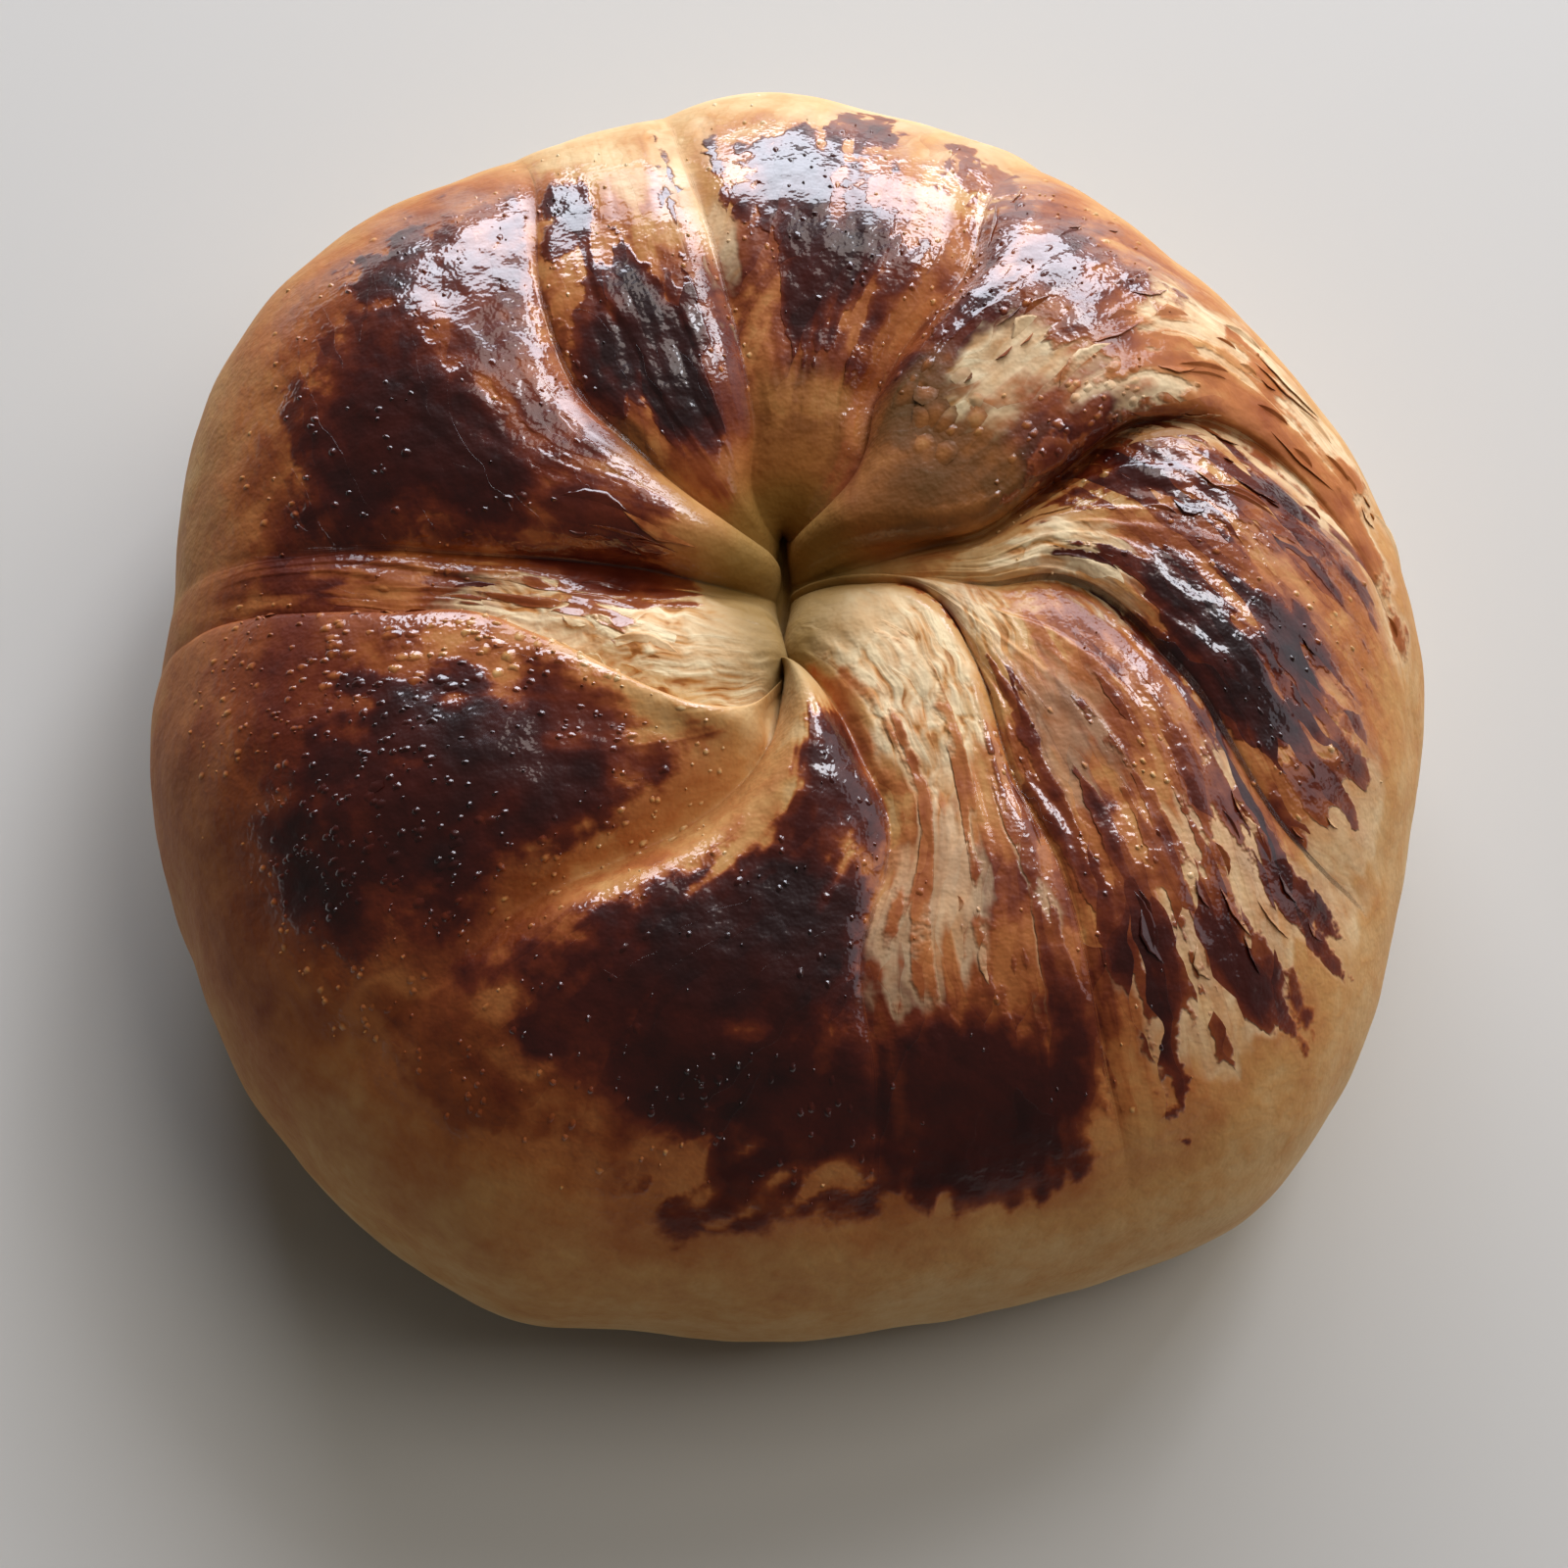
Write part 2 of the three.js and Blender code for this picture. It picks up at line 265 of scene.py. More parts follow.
# Where the egg wash lay thick and baked to a dark glaze
GLAZE = {
    "right band": Patch(0.20, 106, 0.26, 20, 0.8, 0.90),
    "right fold band": Patch(0.77, 104, 0.17, 26, 1.0, 0.78, 0.5),
    "right flecks": Patch(0.20, 129, 0.22, 8, 0.9, 0.75),
    "back right": Patch(1.68, 109, 0.30, 14, 1.0, 0.73, 0.8),
    "back right edge": Patch(1.82, 93, 0.10, 8, 0.7, 0.85),
    "lobe line": Patch(1.04, 92, 0.06, 26, 0.6, 0.68, 0.5),
    "outline streaks": Patch(1.14, 124, 0.16, 18, 1.0, 0.50, 0.8),
    "lobe stain": Patch(1.32, 104, 0.12, 9, 0.8, 0.58, 1.0),
    "back seam streak": Patch(2.08, 58, 0.07, 20, 0.5, 0.62, 2.0),
    "back streak": Patch(2.22, 86, 0.08, 15, 0.6, 0.90),
    "back stripes": Patch(2.52, 91, 0.24, 15, 0.9, 0.88),
    "back top": Patch(2.64, 109, 0.22, 14, 0.6, 0.90),
    "back tail": Patch(2.45, 127, 0.07, 10, 0.5, 0.80),
    "back edge": Patch(2.07, 125, 0.07, 12, 0.6, 0.75),
    "ridge stripe": Patch(3.56, 80, 0.36, 24, 0.7, 0.93),
    "ridge inner": Patch(3.72, 54, 0.22, 8, 0.6, 0.62, 2.5),
    "ridge fleck": Patch(3.13, 108, 0.07, 8, 0.4, 0.90),
    "ridge top": Patch(3.74, 109, 0.13, 8, 0.8, 0.90),
    "shoulder": Patch(4.66, 98, 0.34, 26, 0.3, 0.90, 0.6, 0.7),
    "shoulder inner": Patch(4.66, 66, 0.28, 15, 0.7, 0.76, 1.2),
    "shoulder streaks": Patch(4.22, 99, 0.20, 26, 1.0, 0.72, 0.8),
    "shoulder fleck": Patch(4.12, 107, 0.10, 12, 0.8, 0.92),
    "shoulder dash": Patch(4.30, 92, 0.09, 16, 0.9, 0.90),
    "shoulder corner": Patch(4.34, 119, 0.12, 11, 0.4, 1.00, 0.35, 0.7),
    "flake line": Patch(5.10, 65, 0.15, 20, 0.5, 0.76, 0.35, 0.3),
    "second flake line": Patch(5.34, 64, 0.06, 15, 0.6, 0.68, 0.35, 0.3),
    "third flake line": Patch(5.50, 78, 0.05, 8, 0.7, 0.68, 0.35, 0.4),
    "flake ends": Patch(5.36, 99, 0.30, 10, 0.9, 0.62, 1.6),
    "left oval": Patch(6.50, 95, 0.38, 21, 0.4, 0.91, 1.4, 0.8),
    "left oval tip": Patch(6.44, 76, 0.26, 11, 0.5, 0.76, 1.8, 0.8),
    "left oval low": Patch(6.62, 110, 0.31, 14, 0.4, 0.87, 1.5, 0.8),
    "left rim": Patch(6.66, 124, 0.21, 9, 0.2, 0.88, 0.7, 0.5),
    "front tip": Patch(7.73, 69, 0.33, 16, 0.3, 0.86, 1.1),
    "front lobe": Patch(7.60, 99, 0.39, 19, 0.6, 0.95, 1.3, 0.9),
    "front low left": Patch(7.27, 114, 0.26, 10, 0.8, 0.82, 1.5, 0.9),
    "front low brown": Patch(7.22, 125, 0.32, 9, 0.8, 0.60, 2.5),
    "front middle": Patch(7.62, 117, 0.40, 12, 0.3, 0.90, 0.8),
    "front low": Patch(7.84, 129, 0.30, 17, 0.5, 0.86, 1.0, 0.6),
    "front bottom": Patch(8.44, 128, 0.52, 18, 0.5, 0.87, 1.0, 0.7),
    "front tongue": Patch(8.66, 109, 0.12, 12, 0.8, 0.82, 0.5),
    "front orange edge": Patch(8.07, 60, 0.10, 18, 0.5, 0.50, 1.6),
    "front shards": Patch(8.93, 115, 0.13, 14, 1.0, 0.78, 0.5),
    "front streak": Patch(8.90, 96, 0.08, 12, 0.9, 0.76, 0.5),
    "flake stain": Patch(8.26, 82, 0.05, 12, 1.0, 0.58, 0.8),
    "second flake stain": Patch(8.54, 94, 0.06, 10, 1.0, 0.60, 0.8),
    "third flake stain": Patch(8.66, 76, 0.05, 10, 1.0, 0.54, 0.8),
    "crack": Patch(9.05, 63, 0.06, 7, 0.3, 0.75),
    "front right streaks": Patch(9.09, 90, 0.08, 24, 0.9, 0.84),
    "front right flecks": Patch(9.18, 116, 0.07, 12, 0.9, 0.80),
    "front right dash": Patch(9.20, 132, 0.05, 8, 0.5, 0.86),
    "front right shards": Patch(9.34, 114, 0.16, 16, 0.9, 0.74),
    "front right upper shards": Patch(9.70, 110, 0.17, 14, 0.9, 0.72),
    "front right low": Patch(9.52, 124, 0.17, 14, 1.0, 0.80),
    "front right end": Patch(9.82, 128, 0.15, 14, 1.0, 0.86),
    "front right drop": Patch(9.66, 139, 0.07, 5, 0.6, 0.80, 0.5, 0.6),
}

# Where the outer layer tore and dry, pale dough shows
TORN = {
    "front flakes inner": Patch(8.50, 56, 0.42, 24, 0.5, 0.80),
    "front flakes outer": Patch(8.36, 91, 0.30, 16, 1.0, 0.48),
    "front flakes edge": Patch(8.86, 100, 0.08, 13, 0.6, 0.60),
    "left flakes": Patch(5.56, 58, 0.40, 28, 0.4, 0.92),
    "right inner": Patch(0.26, 78, 0.32, 14, 0.5, 0.82),
    "right outline": Patch(1.18, 120, 0.32, 28, 0.8, 0.78),
    "lobe flap": Patch(1.50, 88, 0.17, 10, 0.3, 0.85),
    "back ridge": Patch(3.04, 114, 0.12, 20, 0.6, 0.65),
    "front right inner": Patch(9.55, 63, 0.45, 9, 0.4, 0.65),
    "front right flakes": Patch(9.30, 84, 0.18, 12, 0.9, 0.25),
    "front right strips": Patch(9.55, 122, 0.44, 17, 1.0, 0.50),
    "right low": Patch(0.10, 139, 0.30, 10, 0.7, 0.50),
}

# Where bare spots show through the glaze, and how clearly
SPOTTED = {
    "front low": Patch(7.74, 135, 0.22, 8, 0.2, 0.9),
    "front low left": Patch(7.20, 118, 0.22, 6, 0.2, 0.6),
    "front bottom": Patch(8.16, 139, 0.22, 6, 0.2, 0.7),
    "left lobe": Patch(6.25, 100, 0.25, 20, 0.2, 0.6),
}

# Where painted shade darkens slopes turned from the window, and how far
SHADED_SLOPES = {
    "blistered lobe": Patch(1.42, 62, 0.56, 20, 0.2, 0.45),
    "back stripes": Patch(2.50, 56, 0.50, 18, 0.6, 0.40),
    "left shoulder": Patch(4.20, 58, 0.30, 14, 0.4, 0.50),
}

# Where larger bubbles rose, and how large they are beside a usual blister
BUBBLES = {
    "lobe inner": Patch(1.66, 70, 0.28, 12, 0.3, 4.2),
    "lobe middle": Patch(1.20, 90, 0.14, 12, 0.3, 1.8),
    "left lobe edge": Patch(6.12, 92, 0.14, 20, 0.3, 1.9),
    "left lobe low": Patch(6.66, 108, 0.22, 9, 0.3, 1.6),
}

# Where the layers lift off in flakes, and how densely
FLAKING = {
    "right folds": Patch(0.75, 100, 0.24, 28, 0.5, 0.7),
    "right outline": Patch(1.15, 126, 0.28, 30, 0.5, 0.75),
    "lobe flake": Patch(1.52, 89, 0.22, 11, 0.3, 1.1),
    "back right": Patch(1.85, 112, 0.25, 16, 0.5, 0.6),
    "back ridge": Patch(3.02, 108, 0.16, 18, 0.4, 0.7),
    "shoulder inner": Patch(4.74, 60, 0.20, 9, 0.4, 0.6),
    "left flakes": Patch(5.40, 68, 0.42, 16, 0.4, 0.6),
    "front flakes": Patch(8.60, 92, 0.40, 14, 0.5, 0.6),
    "front right": Patch(9.55, 122, 0.42, 16, 0.5, 0.8),
    "right low": Patch(0.15, 128, 0.26, 12, 0.5, 0.7),
}
PATCH_POWER = 2.6  # 2 makes patches elliptical, more makes them boxier
PATCH_EDGE = (-1, 1)  # over which a patch without a fade of its own comes in, in millimetres of depth
TURN_LENGTH = 0.75  # of crust along a degree of turn, on the crest
DEPTH_RANGE = (-6.0, 8.0)  # of a patch's depth that is kept, in millimetres
WEIGHT_RANGE = (-8, 8)  # of the depth at which neighbouring patches blend
PATCH_SEEDS = (21, 22, 23)
PATCH_WARPS = ((9, 0, 0.10, 5), (4, 50, 0.05, 3))  # bump width and shift in mm, strands across, degrees along
PATCH_STREAKS = ((1.4, 16.0), (4.0, 30.0))  # width and length in mm
STREAK_CUT = 4.2  # how far a streak cuts into a wholly broken patch
STREAK_MOST = 0.3  # how far one adds to it, as a share of the cut

# Turns over which something comes in above the slit, and those over which it goes out towards the side
GLOSSY = ((45, 70), (150, 122))
BLISTERED = ((55, 75), (145, 125))
LAYERED = ((48, 74), (150, 125))
WASHED = ((42, 62), (140, 118))
LUMPY = ((5, 40), (270, 200))
CURLED = (35, 65)
FLECKED, MOST_FLECKED = (34, 52), (92, 74)
CRUMPLED = (96, 74)
# Painted shade deep in the hole, fading out over these turns
HOLE_SHADE = (56, 32)

# Depths in a patch over which something comes in
TORN_EDGE = (-1.5, 1.5)
WASH_EDGE = (-3.5, -0.5)
GLOW_EDGE = (-6, 0)
SHADED_EDGE = (-3, 3)
SPOTTED_EDGE = (-1, 1.5)

WASH_CHAR = (0.45, 0.75)  # how dark a patch is baked where the wash begins to shine, and where it shines most
SPOT_EDGE = (-0.25, 0.55)  # of the noise of the bare spots
BARE_GLOSS = 0.35  # of crust between the patches, as a share of the glaze's
GLAZE_GLOW = 0.06  # browning around the glaze
BUBBLE_COVER = 1.6  # blisters where bubbles rose, as a share of the usual
BLISTER_COVER, BLISTER_LIMITS = 0.55, (0.05, 1.4)
FLECK_COVER, FLECK_LIMITS = 0.7, (0.2, 1)
LEAST_FLECKED = LEAST_WASHED = 0.3
BAKE_BLEND = (0.3, 0.7)  # part of the way between the middles of two strands over which their browning blends
LAYER_TONE = 0.22  # how far a layer's browning differs
MOTTLE_SEED = 43
MOTTLE_SIZES, MOTTLE_SOFTNESS = (8, 4, 2), 32  # widths of the mottles in mm, and a width over its strength
TORN_FLATTENING = 0.6  # share of the layers' steps that is lost where they tore

# Smooth noises over the crust: a seed, how wide the bumps are in millimetres, and how strong
BUMPS = {
    "lumps": (31, 17, 0.6), "small lumps": (32, 6, 0.22),
    "wrinkle bends": (34, 7, 1.5), "wrinkled parts": (36, 8, 1.0),
    "crease bends": (51, 5, 1.2), "crease slides": (52, 5, 2.0), "crease heights": (54, 5, 0.5),
    "blister clusters": (41, 9, 0.9), "fleck clusters": (42, 7, 1.0),
    "pattern slides": (61, 2.5, 1.6), "pattern bends": (62, 2.5, 0.7),
}
# Noises drawn out along the strands: a seed, how wide and long the marks are in millimetres, and how strong
MARKS = {
    "wrinkles": (33, 2.0, 9, 2.0), "fine wrinkles": (35, 0.9, 5, 1.0),
    "creases": (53, 3.2, 8, 2.4), "fine creases": (55, 1.6, 4, 1.0),
    "bare spots": (44, 3.4, 4.4, 1.0), "streaks": (45, 1.7, 14, 0.3), "fine streaks": (46, 0.9, 8, 0.15),
}
# Noises of the flaky layers: a seed, a length in millimetres, how far layers and strands differ, and a shift
LAYER_NOISES = {
    "sway": (11, 16, 0.7, 3.3, 0), "cover": (12, 15, 2.7, 5.1, 0), "tone": (13, 20, 3.7, 2.3, 0.5),
}
WRINKLE_SLICE = 0.5  # place of the wrinkles in their noise
WRINKLE_COVER = 0.5  # how far they show, on the whole
LAYER_SWAY = 0.8  # of a layer's width
LAYER_COVER, LAYER_BREAKS = 0.45, 0.9  # how far a layer shows, and how far that varies along it
LAYER_CURVE, LAYER_MIDDLE = 1.4, 0.42  # of the step from one layer up to the next

# What the crust's material reads from its mesh
CRUST_ATTRIBUTES = ("bake", "glaze", "char", "fade", "edge", "torn", "dry", "wet", "hollow", "layered",
                    "washed", "flecked", "spots", "mottle", "streak", "flaky", "dome")
# Its patterns: what they follow, the sides of their marks in millimetres, and a texture as it is set up
CRUST_PATTERNS = (
    # Real pores are finer than this grain, and wouldn't show
    ("grain", "bun", (1.3, 1.3, 1.3), "ShaderNodeTexNoise", "Fac", {}, {"Detail": 2.0, "Roughness": 0.6}),
    ("ragged", "bun", (4.0, 4.0, 4.0), "ShaderNodeTexNoise", "Fac", {}, {"Detail": 3.0, "Roughness": 0.55}),
    ("ripple", "bun", (3.0, 3.0, 3.0), "ShaderNodeTexNoise", "Fac", {}, {"Detail": 1.0}),
    ("fleck", "strands", (2.4, 1.0, 1.0), "ShaderNodeTexNoise", "Fac", {}, {"Detail": 1.5}),
    ("plate", "strands", (8.0, 2.0, 1.0), "ShaderNodeTexVoronoi", "Color", {"voronoi_dimensions": "2D"}, {}),
)
# Its steps: a first value, then shares of others that are added to it, or a node's operation and inputs
CRUST_STEPS = (
    ("layer", "plate", ("MULTIPLY", "layered")),
    ("dry skin", "fleck", {"plate": 0.3}, ("MULTIPLY", "flecked")),
    # The glaze: how deep inside its ragged edge, in millimetres, and how thick it lies there
    ("rim", "ragged", ("MULTIPLY", 7.0), {"grain": 2.0}, ("MULTIPLY", "edge")),
    ("loose layer", "layer", ("MULTIPLY", "flaky")),
    ("depth", "glaze", {"rim": 1.0, "streak": 7.0, "layer": 2.5, "spots": -7.0, "loose layer": 4.5}),
    ("glazed", "depth", ("DIVIDE", "fade"), ("SMOOTHSTEP", -1.0, 1.0)),
    ("bare", 1.0, ("SUBTRACT", "glazed")),
    ("thickness", "depth", ("LINEAR", -0.5, 3.5, 0.78, 1.02)),
    # Browning of the plain crust and of the glaze
    ("line", "streak", ("ABSOLUTE",), ("SMOOTHSTEP", 0.035, 0.0), ("MULTIPLY", "layered")),
    ("wash", "mottle", {"streak": 0.9, "ragged": 0.7}, ("SMOOTHSTEP", -0.14, 0.08), ("MULTIPLY", "washed")),
    ("pale dome", "dome", ("MULTIPLY", "bare")),
    ("plain", "bake", {"mottle": 0.25, "streak": 0.06, "grain": 0.12, "ragged": 0.18, "line": 0.05,
                       "wash": 0.13, "layer": 0.20, "washed": -0.05, "pale dome": -0.18}),
    ("dark", "char", ("MULTIPLY", "thickness"), {"mottle": 0.32, "ragged": 0.22, "layer": 0.15}),
    # Torn dough: where it shows, how toasted it is and where its edges are thin, with painted shade in its
    # gaps. Painted shade deep in the hole and on slopes turned from the window
    ("flaked", "torn", {"ragged": 7.0, "streak": 6.0, "layer": 2.5, "grain": 1.5}, ("SMOOTHSTEP", -1.2, 1.4),
     ("MULTIPLY", "dry"), ("MULTIPLY", "bare")),
    # Torn dough is paler where its skin is raised and darker in the gaps: partly toasting, partly painted
    # shade
    ("toast", 0.32, {"dry skin": -4.2, "ragged": 1.2, "streak": 0.4, "ripple": 0.3}),
    ("faint line", "line", ("MULTIPLY", 0.4)),
    ("thin", "dry skin", ("SMOOTHSTEP", -0.12, -0.20), ("MAXIMUM", "faint line"), ("MULTIPLY", 0.7)),
    # Painted shade: share of the olive shade tone deep in the hole and on slopes turned from the window
    ("damp", "hollow", ("MULTIPLY", "bare"), ("MULTIPLY", 0.85)),
    # Gloss of the wash
    ("gloss", "wet", ("SUBTRACT", "flaked"), ("MAXIMUM", 0.0)),
    ("roughness", "gloss", ("LINEAR", 0.0, 1.0, 0.65, 0.35)),
    # Relief in millimetres
    ("waves", "glazed", {"flaked": 1.0}, ("MULTIPLY", "ripple")),
    ("bare grain", "grain", ("MULTIPLY", "bare")),
    ("layer steps", "layer", ("MULTIPLY", "layered")),
    ("loose skin", "dry skin", ("MULTIPLY", "flaked")),
    ("relief", "waves", ("MULTIPLY", 0.3), {"glazed": 0.06, "flaked": -0.12, "streak": 0.18, "grain": 0.13,
                                            "bare grain": 0.04, "layer steps": 0.12, "loose skin": 0.45}),
)
# Colours of the browning, from cream to black
BAKE_STOPS = ((0.0, "cream"), (0.18, "straw"), (0.34, "gold"), (0.48, "amber"), (0.6, "russet"),
              (0.72, "mahogany"), (0.84, "umber"), (1.0, "black"))
CRUST_FINISH = {"Coat Roughness": 0.08, "Coat IOR": 1.6, "Specular IOR Level": 0.25}

# Blisters and flakes, and how they are scattered
SCATTER_INPUTS = (("Geometry", "Geometry"), ("Shapes", "Collection"), ("Material", "Material"),
                  ("Density", "Float"), ("Smallest", "Vector"), ("Largest", "Vector"), ("Tilt", "Float"),
                  ("Seed", "Int"))
LYING_INPUTS = (("Lift", "Float"),)
SMALLEST_DRAW, DRAW_POWER = 0.5, 2.0  # of a shape's width
BLISTER_KINDS, BLISTER_SEED, BLISTER_TILT = 3, 4, 0.1
BLISTER_SIDES = 9
BLISTER_UNEVEN = (0.7, 1.1)
BLISTER_RINGS = ((1.0, -0.07), (0.8, 0.08), (0.52, 0.34), (0.22, 0.49))  # radius and height, from the foot up
BLISTER_TOP = 0.53
BLISTER_PALE = 0.5  # height at which it is palest
FLAKE_KINDS, FLAKE_SEED, FLAKE_TILT = 6, 9, 0.15
FLAKE_ROWS, FLAKE_LINES = 11, 5
FLAKE_TEARING = (-7.0, 5.0)  # by which a flake is less or more torn than the crust under it
FLAKE_RAGGED, FLAKE_BOW = 0.14, 0.25  # of its width
FLAKE_TIP, FLAKE_TAPER = 1.02, 1.6
FLAKE_LIFTS, FLAKE_SINK, FLAKE_THICKNESS = (0.4, 1.0), 0.15, 0.15  # as shares of the lift
FLAKE_RISE, FLAKE_HOLD = 1.5, 3  # how late it rises across its width, and how near its ends it is held
FLAKE_THIN = 0.2  # its thickness where it leaves the crust, as a share of the rest

# Lights: whether the gloss shows them, their sides, colour and place, and the height aimed at, in metres
LIGHTS = (
    ("window", True, (0.88, 0.5), "#edf2ff", (0.07, 0.86, 0.37), 0.03),
    ("skylight", True, (0.44, 0.44), "#f4f7ff", (0.6, 0.87, 1.07), 0.02),
    ("wall", True, (0.9, 0.8), "#f2f4ff", (1.0, 0.38, 0.5), 0.03),
    ("back_wall", True, (0.5, 0.4), "#ffeee6", (0.24, 0.76, 1.02), 0.03),
    ("ceiling", False, (0.9, 0.9), "#fff8ee", (0.75, 0.15, 1.4), 0.02),
)
ROOM_LIGHT = (0.07, 0.07, 0.066, 1)
FLOOR_REACH = 3.0
CAMERA_AIM = (-0.37, -8.35, 16)  # in millimetres


class Noise:
    """Smooth seeded noise in three dimensions, about -1 to 1."""

    SIZE = 256
    STEEPNESS = 1.6

    def __init__(self, seed):
        draw = np.random.default_rng(seed)
        self.order = draw.permutation(self.SIZE)
        slopes = draw.normal(size=(self.SIZE, 3))
        self.slopes = self.STEEPNESS * slopes / np.linalg.norm(slopes, axis=1, keepdims=True)

    def __call__(self, x, y, z=0.0):
        place = np.stack(np.broadcast_arrays(x, y, z), -1).astype(float)
        cell = np.floor(place).astype(int)
        inside = place - cell
        ease = inside ** 3 * (inside * (inside * 6 - 15) + 10)
        total = 0.0
        for corner in np.ndindex(2, 2, 2):
            spot = np.zeros(cell.shape[:-1], int)
            weight = 1.0
            for axis, step in enumerate(corner):
                spot = self.order[(spot + cell[..., axis] + step) % self.SIZE]
                weight = weight * (ease[..., axis] if step else 1 - ease[..., axis])
            total = total + weight * (self.slopes[spot] * (inside - corner)).sum(-1)
        return total

    def over(self, points, size):
        """The noise at points, with bumps about as wide as size."""
        return self(*np.moveaxis(points / size, -1, 0))


def smooth(low, high, x):
    """A smooth step from 0 at low to 1 at high, which may be the lower of the two."""
    t = np.clip((x - low) / (high - low), 0, 1)
    return t * t * (3 - 2 * t)


def band(turn, rise, fall):
    """One between two smooth steps of the turn, and nothing past them."""
    return smooth(*rise, turn) * smooth(*fall, turn)


def spread(azimuth, centre, width):
    """A bump around an azimuth, one at most."""
    return np.exp(-(((azimuth - centre + 180) % 360 - 180) / width) ** 2)


def through(x, stations, values):
    """Smooth curve through the values at the stations."""
    values = np.array(values, float)
    slope = np.gradient(values, stations)
    i = np.clip(np.searchsorted(stations, x, side="right") - 1, 0, len(stations) - 2)
    span = stations[i + 1] - stations[i]
    t = np.clip((x - stations[i]) / span, 0, 1)
    rise = t * t * (3 - 2 * t)
    bend = span * (slope[i] * t * (1 - t) ** 2 - slope[i + 1] * t * t * (1 - t))
    return values[i] * (1 - rise) + values[i + 1] * rise + bend


def unit(v):
    return v / np.maximum(np.linalg.norm(v, axis=-1, keepdims=True), 1e-9)


def marks(name, across, along, apart):
    """A noise of MARKS at places across and along the strands. Apart keeps the strands' marks different."""
    seed, wide, long, strong = MARKS[name]
    return strong * Noise(seed)(across / wide, along / long, apart)


class Ring:
    """The plain ring, without its twist. Sizes are in millimetres."""

    def __init__(self, sizes):
        self.outer = sizes.outer_radius / MM
        self.crest_radius = sizes.crest_radius / MM
        self.crest_height = sizes.crest_height / MM
        self.girth_height = sizes.girth_height / MM
        self.slit_height = sizes.slit_height / MM

    def point(self, azimuth, turn):
        """The place at an azimuth and a turn."""
        around, about = np.radians(azimuth), np.radians(turn)
        outer = self.outer + sum(out * spread(azimuth, at, wide) for at, wide, out in SHOULDERS)
        crest = self.crest_height + sum(up * spread(azimuth, at, wide) for at, wide, up in RISES)
        slit = self.slit_height - SLIT_SLOPE * np.sin(around)
        across, up = np.abs(np.cos(about)), np.abs(np.sin(about))
        inside, above = turn < CREST_TURN, turn < GIRTH_TURN
        plump = np.where(inside, PLUMPNESS - INNER_SWING * np.sin(around), PLUMPNESS)
        reach = (across ** plump + up ** plump) ** (1 / plump)
        radius = self.crest_radius + (outer - self.crest_radius) * across / reach
        radius = np.where(above, radius, outer - FOOT_INSET * (1 - across))
        radius = np.where(inside, self.crest_radius * (1 - across / reach), radius)
        height = self.girth_height + (crest - self.girth_height) * up / reach
        height = np.where(above, height, self.girth_height * (1 - up))
        height = np.where(inside, slit + (crest - slit) * up / reach, height)
        closing = np.clip(1 - turn / CREST_TURN, 0, 1) ** SLIT_CLOSING
        x = (radius + closing * SLIT_HALF_WIDTH) * np.cos(around)
        y = (radius + closing * SLIT_HALF_LENGTH) * np.sin(around) + closing * SLIT_OFFSET
        return np.stack([x, y, height], -1)

    def directions(self, azimuth, turn, step=0.5):
        """Outward normal, and the way round the ring."""
        along_section = self.point(azimuth, turn + step) - self.point(azimuth, np.maximum(turn - step, 0))
        along_ring = self.point(azimuth + step, turn) - self.point(azimuth - step, turn)
        return unit(np.cross(along_section, along_ring)), unit(along_ring)

    def turns(self):
        """Turns of the grid's rows, evenly apart along the section where the crust is detailed."""
        fine = np.linspace(0, GIRTH_TURN, FINE_STATIONS)
        steps = np.diff(self.point(np.zeros_like(fine), fine), axis=0)
        walked = np.concatenate([[0], np.cumsum(np.linalg.norm(steps, axis=1))])
        top = np.interp(np.linspace(0, walked[-1], TOP_ROWS), walked, fine)
        return np.concatenate([top, np.linspace(GIRTH_TURN, FOOT_TURN, SIDE_ROWS)[1:]])


class Crust:
    """The crust's grid, in millimetres: columns run along the strands, and rows go round the ring."""

    def __init__(self, ring):
        turns = ring.turns()
        azimuth, share, index = [], [], []
        seams = [through(turns, SEAM_TURNS, strand.seam) for strand in STRANDS]
        seams.append(seams[0] + 360)
        for k, strand in enumerate(STRANDS):
            part = (np.arange(strand.columns) / strand.columns)[:, None] + 0 * turns
            azimuth.append(seams[k] + (seams[k + 1] - seams[k]) * part)
            share.append(part)
            index.append(np.full(part.shape, k))
        self.azimuth, self.share, self.index = (np.concatenate(a) for a in (azimuth, share, index))
        self.strand = self.index + self.share
        self.turn = np.broadcast_to(turns, self.azimuth.shape)
        self.base = ring.point(self.azimuth, self.turn)
        gap = np.radians(np.diff(np.array(seams), axis=0))
        self.width = gap[self.index, np.arange(len(turns))] * np.hypot(self.base[..., 0], self.base[..., 1])
        steps = np.linalg.norm(np.diff(self.base, axis=1), axis=-1)
        self.along = np.concatenate([np.zeros((len(steps), 1)), np.cumsum(steps, axis=1)], axis=1)
        self.normal, self.round = ring.directions(self.azimuth, self.turn)
        self.from_first, self.from_last = self.share * self.width, (1 - self.share) * self.width

    def each(self, field):
        """A strand's value at every grid point."""
        return np.array([getattr(strand, field) for strand in STRANDS], float)[self.index]

    def following(self, field):
        """The next strand's value at every grid point."""
        values = [getattr(strand, field) for strand in STRANDS]
        return np.array(values[1:] + values[:1], float)[self.index]

    def left(self, shares):
        """The share that is left of something at every grid point, from its shares at turns."""
        return np.interp(self.turn, *shares)

    def bumps(self, name):
        """A noise of BUMPS at every grid point."""
        seed, wide, strong = BUMPS[name]
        return strong * Noise(seed).over(self.base, wide)

    def layer_noise(self, name, layer):
        """A noise of LAYER_NOISES along the layers."""
        seed, long, layer_gap, strand_gap, shift = LAYER_NOISES[name]
        return Noise(seed)(self.along / long, layer * layer_gap + shift, self.index * strand_gap + shift)


